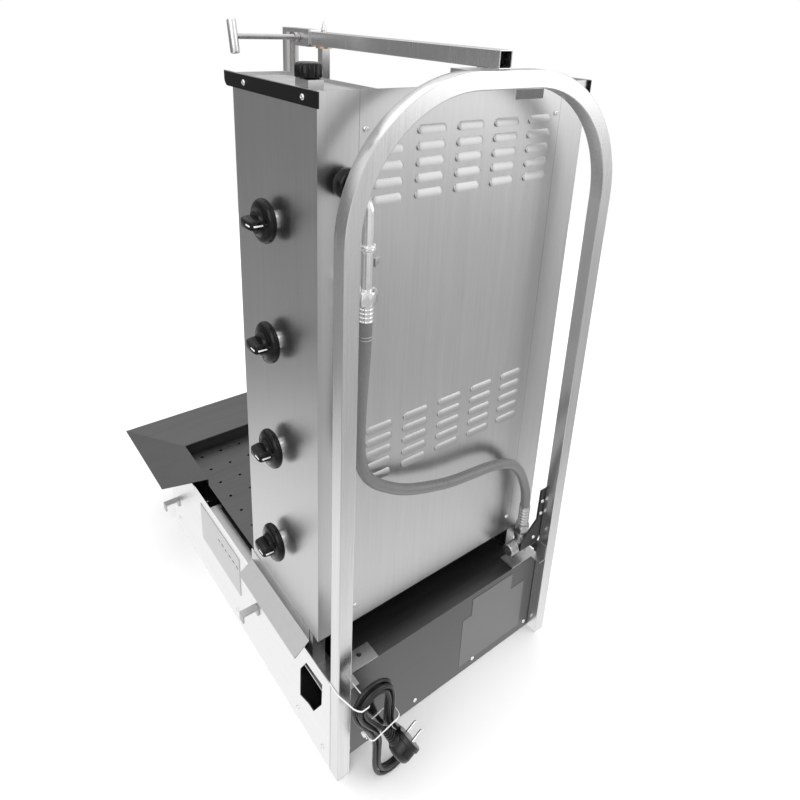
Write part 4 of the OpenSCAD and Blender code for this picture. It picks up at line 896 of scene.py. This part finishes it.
# Louvres of the rear cover: pressed hoods, closed above and open below
louvreSettings = {
    "columns": 5,
    "rows": 5,
    "length": 41.6,
    "height": 10.6,
    "proud": 2.8,
    "sheet": 0.8,
    "pitchX": 59.5,
    "pitchZ": 18.4,
    "firstRows": (806.0, 436.0),
    "across": 20,
    "up": 6,
    "fullness": 0.7,
}


def louvreHood(bm, x, z, s):
    half, radius = s["length"] / 2, s["height"] / 2
    outer, inner = [], []
    for i in range(s["across"] + 1):
        share = -math.cos(math.pi * i / s["across"])
        across = share * half * 0.999
        over = max(abs(across) - (half - radius), 0)
        rise = math.sqrt(max(radius ** 2 - over ** 2, 0.01))
        outerLine, innerLine = [], []
        for j in range(s["up"] + 1):
            level = j / s["up"]
            out = s["proud"] * (rise / radius * math.cos(level * math.pi / 2)) ** s["fullness"]
            at = Vector((x + across, faceSettings["coverY"] + out + 0.05, z - rise + 2 * rise * level))
            outerLine.append(bm.verts.new(at * mm))
            innerLine.append(bm.verts.new((at - Vector((0, s["sheet"], 0))) * mm))
        outer.append(outerLine)
        inner.append(innerLine)
    for i in range(s["across"]):
        for j in range(s["up"]):
            bm.faces.new((outer[i][j], outer[i + 1][j], outer[i + 1][j + 1], outer[i][j + 1]))
            bm.faces.new((inner[i][j], inner[i][j + 1], inner[i + 1][j + 1], inner[i + 1][j]))
        for j in (0, s["up"]):
            bm.faces.new((outer[i][j], inner[i][j], inner[i + 1][j], outer[i + 1][j]))
    for i in (0, s["across"]):
        for j in range(s["up"]):
            bm.faces.new((outer[i][j], outer[i][j + 1], inner[i][j + 1], inner[i][j]))


def makeLouvres(s):
    bm = bmesh.new()
    for first in s["firstRows"]:
        for row in range(s["rows"]):
            for column in range(s["columns"]):
                side = column - (s["columns"] - 1) / 2
                louvreHood(bm, side * s["pitchX"], first + row * s["pitchZ"], s)
    fit(linkMesh("louvreHoods", bm, "hoodSteel", angle=50), "brushed_sheet", "tower")


makeLouvres(louvreSettings)
print("stage: louvres made")


# Burner knobs: a skirt with a rounded rim, and a grip bar with a white pointer line
knobSettings = {
    "back": 215.5,
    "axisY": 198.0,
    "heights": (770.0, 615.0, 460.0, 305.0),
    "bore": 4.05,
    "boreDepth": 12.0,
    "skirt": [(22.5, 0.0), (24.6, 0.4), (26.1, 1.8), (26.7, 4.0), (26.5, 6.4), (25.4, 8.6),
              (23.4, 10.2), (20.6, 11.0), (17.8, 11.6), (15.8, 12.8), (14.4, 14.6), (13.2, 16.0),
              (8.0, 16.6)],
    "gripLength": 31.0,
    "gripThick": 13.0,
    "gripLevels": [(5.0, 1.0), (12.0, 1.0), (20.0, 0.96), (25.2, 0.90), (26.7, 0.83), (27.5, 0.73)],
    "gripSteps": 40,
    "gripCurve": (0.30, 0.35),  # how square the sides and the ends of the bar are
    "pointers": [(-0.9, 0.9, 1.5, 11.47, 27.0, 27.75), (-0.9, 0.9, 13.33, 15.686, 13.0, 24.0)],
}


def makeKnob(index, z, s):
    bm = bmesh.new()
    turn = moved(s["back"], s["axisY"], z) @ turned(90, "Y")
    lathe(bm, [(s["bore"], s["boreDepth"]), (s["bore"], 0.0)] + s["skirt"], turn, 72)
    half, thick = s["gripLength"] / 2, s["gripThick"] / 2
    sideCurve, endCurve = s["gripCurve"]
    sections = []
    for level, share in s["gripLevels"]:  # the bar has rounded ends and thins a little outwards
        ring = []
        for step in range(s["gripSteps"]):
            angle = 2 * math.pi * step / s["gripSteps"]
            c, d = math.cos(angle), math.sin(angle)
            y = half * share * math.copysign(abs(c) ** endCurve, c)
            x = thick * share * math.copysign(abs(d) ** sideCurve, d)
            ring.append(bm.verts.new(turn @ (Vector((x, y, level)) * mm)))
        sections.append(ring)
    joinRings(bm, sections)
    knob = linkMesh("knobBody%d" % index, bm, "knobBlack", angle=38)
    bm = bmesh.new()
    for x0, x1, y0, y1, z0, z1 in s["pointers"]:
        addBox(bm, (x0, y0, z0), (x1, y1, z1), turn, 0.2)
    pointer = linkMesh("knobPointer%d" % index, bm, "pointerWhite")
    fit(knob, "black_plastic", "dial_%d" % index, "knob_%d" % index)
    fit(pointer, "tie_white", "dial_%d" % index, "knob_%d" % index)


for index, height in enumerate(knobSettings["heights"], 1):
    makeKnob(index, height, knobSettings)
print("stage: knobs made")


# Small round knobs: the one at the rear of the tower and the ribbed lock on its top
smallKnobSettings = {"lockBottom": 933.0, "lockRibs": 12, "ribDepth": 0.9, "steps": 96}


def makeRearKnob(s):
    low, high = boxOf("rear_knob")
    radius, height = (high.x - low.x) / 2, high.y - low.y
    profile = [(6.0, 0.0), (7.0, 0.3), (7.0, 4.0), (radius * 0.9, 6.0), (radius, 9.0),
               (radius, height - 5.0), (radius - 1.2, height - 2.2), (radius - 4.0, height - 0.5),
               (radius - 8.0, height), (2.0, height)]
    outwards = moved((low.x + high.x) / 2, low.y, (low.z + high.z) / 2) @ turned(-90, "X")
    bm = bmesh.new()
    lathe(bm, profile, outwards, s["steps"])
    fit(linkMesh("rearKnob", bm, "knobBlack", angle=40), "black_plastic", "tower", "rear_knob")


def makeLockKnob(s):
    low, high = boxOf("lock_knob")
    radius, height, stem = (high.x - low.x) / 2, high.z - low.z, s["lockBottom"] - low.z
    profile = [(3.0, 0.0), (3.0, stem), (radius - 5, stem + 0.2), (radius - 1.6, stem + 0.8),
               (radius, stem + 2.4), (radius, height - 3.4), (radius - 1.2, height - 1.2),
               (radius - 3.4, height - 0.2), (2.0, height)]

    def ribbed(r, angle):
        groove = max(math.cos(s["lockRibs"] * angle), 0) ** 3 * s["ribDepth"]
        return r - groove if r > radius - 2.5 else r
    bm = bmesh.new()
    lathe(bm, profile, moved((low.x + high.x) / 2, (low.y + high.y) / 2, low.z), s["steps"], ribbed)
    fit(linkMesh("lockKnob", bm, "knobBlack", angle=40), "black_plastic", "lock", "lock_knob")


makeRearKnob(smallKnobSettings)
makeLockKnob(smallKnobSettings)
print("stage: small knobs made")


# Bare label plates on the rear panel, cap trim edges and the cable clip
plateSettings = {
    "labels": [((-168, 333.0, 17), (-30, 333.35, 117)), ((-136, 333.0, 116), (-48, 333.5, 150))],
    "trimEdge": 0.9,
    "trimWidth": 2.9,
    "clipAt": (127, 295.0, 736),
}


def makeLabels(s):
    bm = bmesh.new()
    for low, high in s["labels"]:
        addBox(bm, low, high, bevel=0.12)
    fit(linkMesh("bareLabels", bm, "labelGrey", smooth=False), "tie_white", "base")


def makeTrimEdges(s):
    # the bare metal edge that shows along the top of each cap trim
    bm = bmesh.new()
    low, high = boxOf("cap_trims")
    outer = high.x + 0.3
    for x0, x1 in ((-outer, s["trimWidth"] - outer), (outer - s["trimWidth"], outer)):
        addBox(bm, (x0, low.y - 0.2, high.z - 0.1), (x1, high.y + 0.2, high.z + s["trimEdge"]), bevel=0.3)
    fit(linkMesh("trimEdges", bm, "tubeSteel"), "brushed_sheet", "tower")


def makeCableClip(s):
    x, y, z = s["clipAt"]
    bm = bmesh.new()
    addBox(bm, (x, y, z - 5), (x + 10, y + 1.2, z + 5), bevel=0.4)
    addBox(bm, (x + 8, y, z - 5), (x + 10, y + 7, z + 5), bevel=0.4)
    fit(linkMesh("cableClip", bm, "zincSteel"), "zinc_steel", "tower")


makeLabels(plateSettings)
makeTrimEdges(plateSettings)
makeCableClip(plateSettings)
print("stage: labels and small plates made")


# Brackets: bright tie plates, and the elbow's dark plate above them
bracketSettings = {"darkAbove": 189.7, "darkTone": 0.06}


def makeBracketMetal():
    makeMetal("bracketSteel", metalSettings["zincSteel"])
    tree = materials["bracketSteel"].node_tree
    shader = tree.nodes["Principled BSDF"]
    parts = partsNode(tree, tree.nodes.new("ShaderNodeTexCoord").outputs["Object"])
    above = mathNode(tree, "GREATER_THAN", parts["Z"], bracketSettings["darkAbove"] * mm)
    bright = shader.inputs["Base Color"].links[0].from_socket
    tone = placeGroup(tree, "tone", {"Dark": bright, "Light": grey(bracketSettings["darkTone"]),
                                     "Mask": above})
    tree.links.new(tone.outputs["Tone"], shader.inputs["Base Color"])


makeBracketMetal()
setFinish(nodes["frame_brackets"], "bracketSteel")


# Studio: pale floor, pale surroundings and soft lights
studioSettings = {
    "floorEdges": (-2.2, 1.1, -2.2, 2.2),
    "floorHeight": -0.0005,
    "floorTone": 0.98,
    "floorMarks": {"Size": 0.8, "Amount": 0.25},
    "floorGlow": (1.15, 0.62, 0.38),  # near the grill, then far off on the bright and the dark side
    "floorFar": (0.45, 1.0),
    "floorSide": (-0.2, 0.5),
    "surround": 1.15,
    "eyeLevel": (0.92, 0.28),  # what polished metal sees on the bright and the dark side
    "roomSide": (-0.1, 0.65),
    "lowLevel": 0.55,
    "lowRange": (-0.60, -0.15),
    "highLevel": 1.0,
    "highRange": (0.10, 0.45),
    "cloudSize": 2.2,
    "cloudShare": (0.75, 1.2),
    "darkSide": (0.5, -0.86),  # the side of the room that the polished metal sees dark
    "lights": [
        ("keyLight", 17.0, (1.6, 2.2), (1.9, 1.3, 2.1), (0, 0, 0.5)),  # name, power, size, place and aim
        ("fillLight", 11.0, (1.4, 2.0), (-1.7, 1.9, 1.5), (0, 0, 0.5)),
        ("topLight", 13.0, (2.4, 2.4), (0.1, -0.6, 2.9), (0, 0, 0.2)),
    ],
}


def mixValues(tree, share, first, second):
    node = tree.nodes.new("ShaderNodeMix")
    node.data_type = "FLOAT"
    for index, source in ((0, share), (2, first), (3, second)):
        feed(tree, node.inputs[index], source)
    return node.outputs[0]


def sideNode(tree, parts, side, low, high):
    # how far a place or a direction is on the dark side of the room
    along = mathNode(tree, "ADD", mathNode(tree, "MULTIPLY", parts["X"], side[0]),
                     mathNode(tree, "MULTIPLY", parts["Y"], side[1]))
    return rangeNode(tree, along, low, high, 0.0, 1.0)


def makeFloor(s):
    material, tree, shader, place = startMaterial("studioFloor")
    marks = placeGroup(tree, "smudges", {"Place": place, **s["floorMarks"]})
    tone = placeGroup(tree, "tone", {"Dark": grey(s["floorTone"]), "Light": grey(s["floorTone"] + 0.03),
                                     "Mask": marks.outputs["Marks"]})
    tree.links.new(tone.outputs["Tone"], shader.inputs["Base Color"])
    shader.inputs["Roughness"].default_value = 0.8
    parts = partsNode(tree, place)
    length = tree.nodes.new("ShaderNodeVectorMath")
    length.operation = "LENGTH"
    tree.links.new(place, length.inputs[0])
    far = rangeNode(tree, length.outputs["Value"], *s["floorFar"], 0.0, 1.0)
    side = sideNode(tree, parts, s["darkSide"], *s["floorSide"])
    near, bright, dark = s["floorGlow"]
    seen = mixValues(tree, far, near, mixValues(tree, side, bright, dark))
    glow = tree.nodes.new("ShaderNodeEmission")
    tree.links.new(seen, glow.inputs["Strength"])
    mix = tree.nodes.new("ShaderNodeMixShader")
    tree.links.new(tree.nodes.new("ShaderNodeLightPath").outputs["Is Glossy Ray"], mix.inputs[0])
    tree.links.new(shader.outputs[0], mix.inputs[1])
    tree.links.new(glow.outputs[0], mix.inputs[2])
    tree.links.new(mix.outputs[0], tree.nodes["Material Output"].inputs["Surface"])
    x0, x1, y0, y1 = s["floorEdges"]
    bm = bmesh.new()
    corners = ((x0, y0), (x1, y0), (x1, y1), (x0, y1))
    bm.faces.new([bm.verts.new((x, y, s["floorHeight"])) for x, y in corners])
    mesh = bpy.data.meshes.new("studioFloor")
    bm.to_mesh(mesh)
    bm.free()
    floor = bpy.data.objects.new("studioFloor", mesh)
    scene.collection.objects.link(floor)
    mesh.materials.append(material)


def makeSurround(s):
    world = bpy.data.worlds.new("studioSurround")
    scene.world = world
    world.use_nodes = True
    world.cycles.sampling_method = "NONE"
    tree = world.node_tree
    background = tree.nodes["Background"]
    direction = tree.nodes.new("ShaderNodeTexCoord").outputs["Generated"]
    parts = partsNode(tree, direction)
    side = sideNode(tree, parts, s["darkSide"], *s["roomSide"])
    level = mixValues(tree, side, *s["eyeLevel"])
    below = rangeNode(tree, parts["Z"], *s["lowRange"], 1.0, 0.0)
    above = rangeNode(tree, parts["Z"], *s["highRange"], 0.0, 1.0)
    moody = mixValues(tree, above, mixValues(tree, below, level, s["lowLevel"]), s["highLevel"])
    clouds = noiseNode(tree, direction, s["cloudSize"], 2.0, 0.5)
    moody = mathNode(tree, "MULTIPLY", moody, rangeNode(tree, clouds, 0.3, 0.7, *s["cloudShare"]))
    path = tree.nodes.new("ShaderNodeLightPath")
    strength = mixValues(tree, path.outputs["Is Glossy Ray"], s["surround"], moody)
    shown = mixValues(tree, path.outputs["Is Camera Ray"], strength, 1.0)
    tree.links.new(shown, background.inputs["Strength"])
    background.inputs["Color"].default_value = (1, 1, 1, 1)


def makeLights(s):
    for name, power, size, place, aim in s["lights"]:
        data = bpy.data.lights.new(name, "AREA")
        data.shape = "RECTANGLE"
        data.size, data.size_y = size
        data.energy = power
        light = bpy.data.objects.new(name, data)
        scene.collection.objects.link(light)
        light.location = place
        light.rotation_euler = (Vector(aim) - Vector(place)).to_track_quat("-Z", "Y").to_euler()


def makeStudio(s):
    makeFloor(s)
    makeSurround(s)
    makeLights(s)
    scene.view_settings.view_transform = "Standard"
    scene.view_settings.look = "None"


makeStudio(studioSettings)
print("stage: studio made")
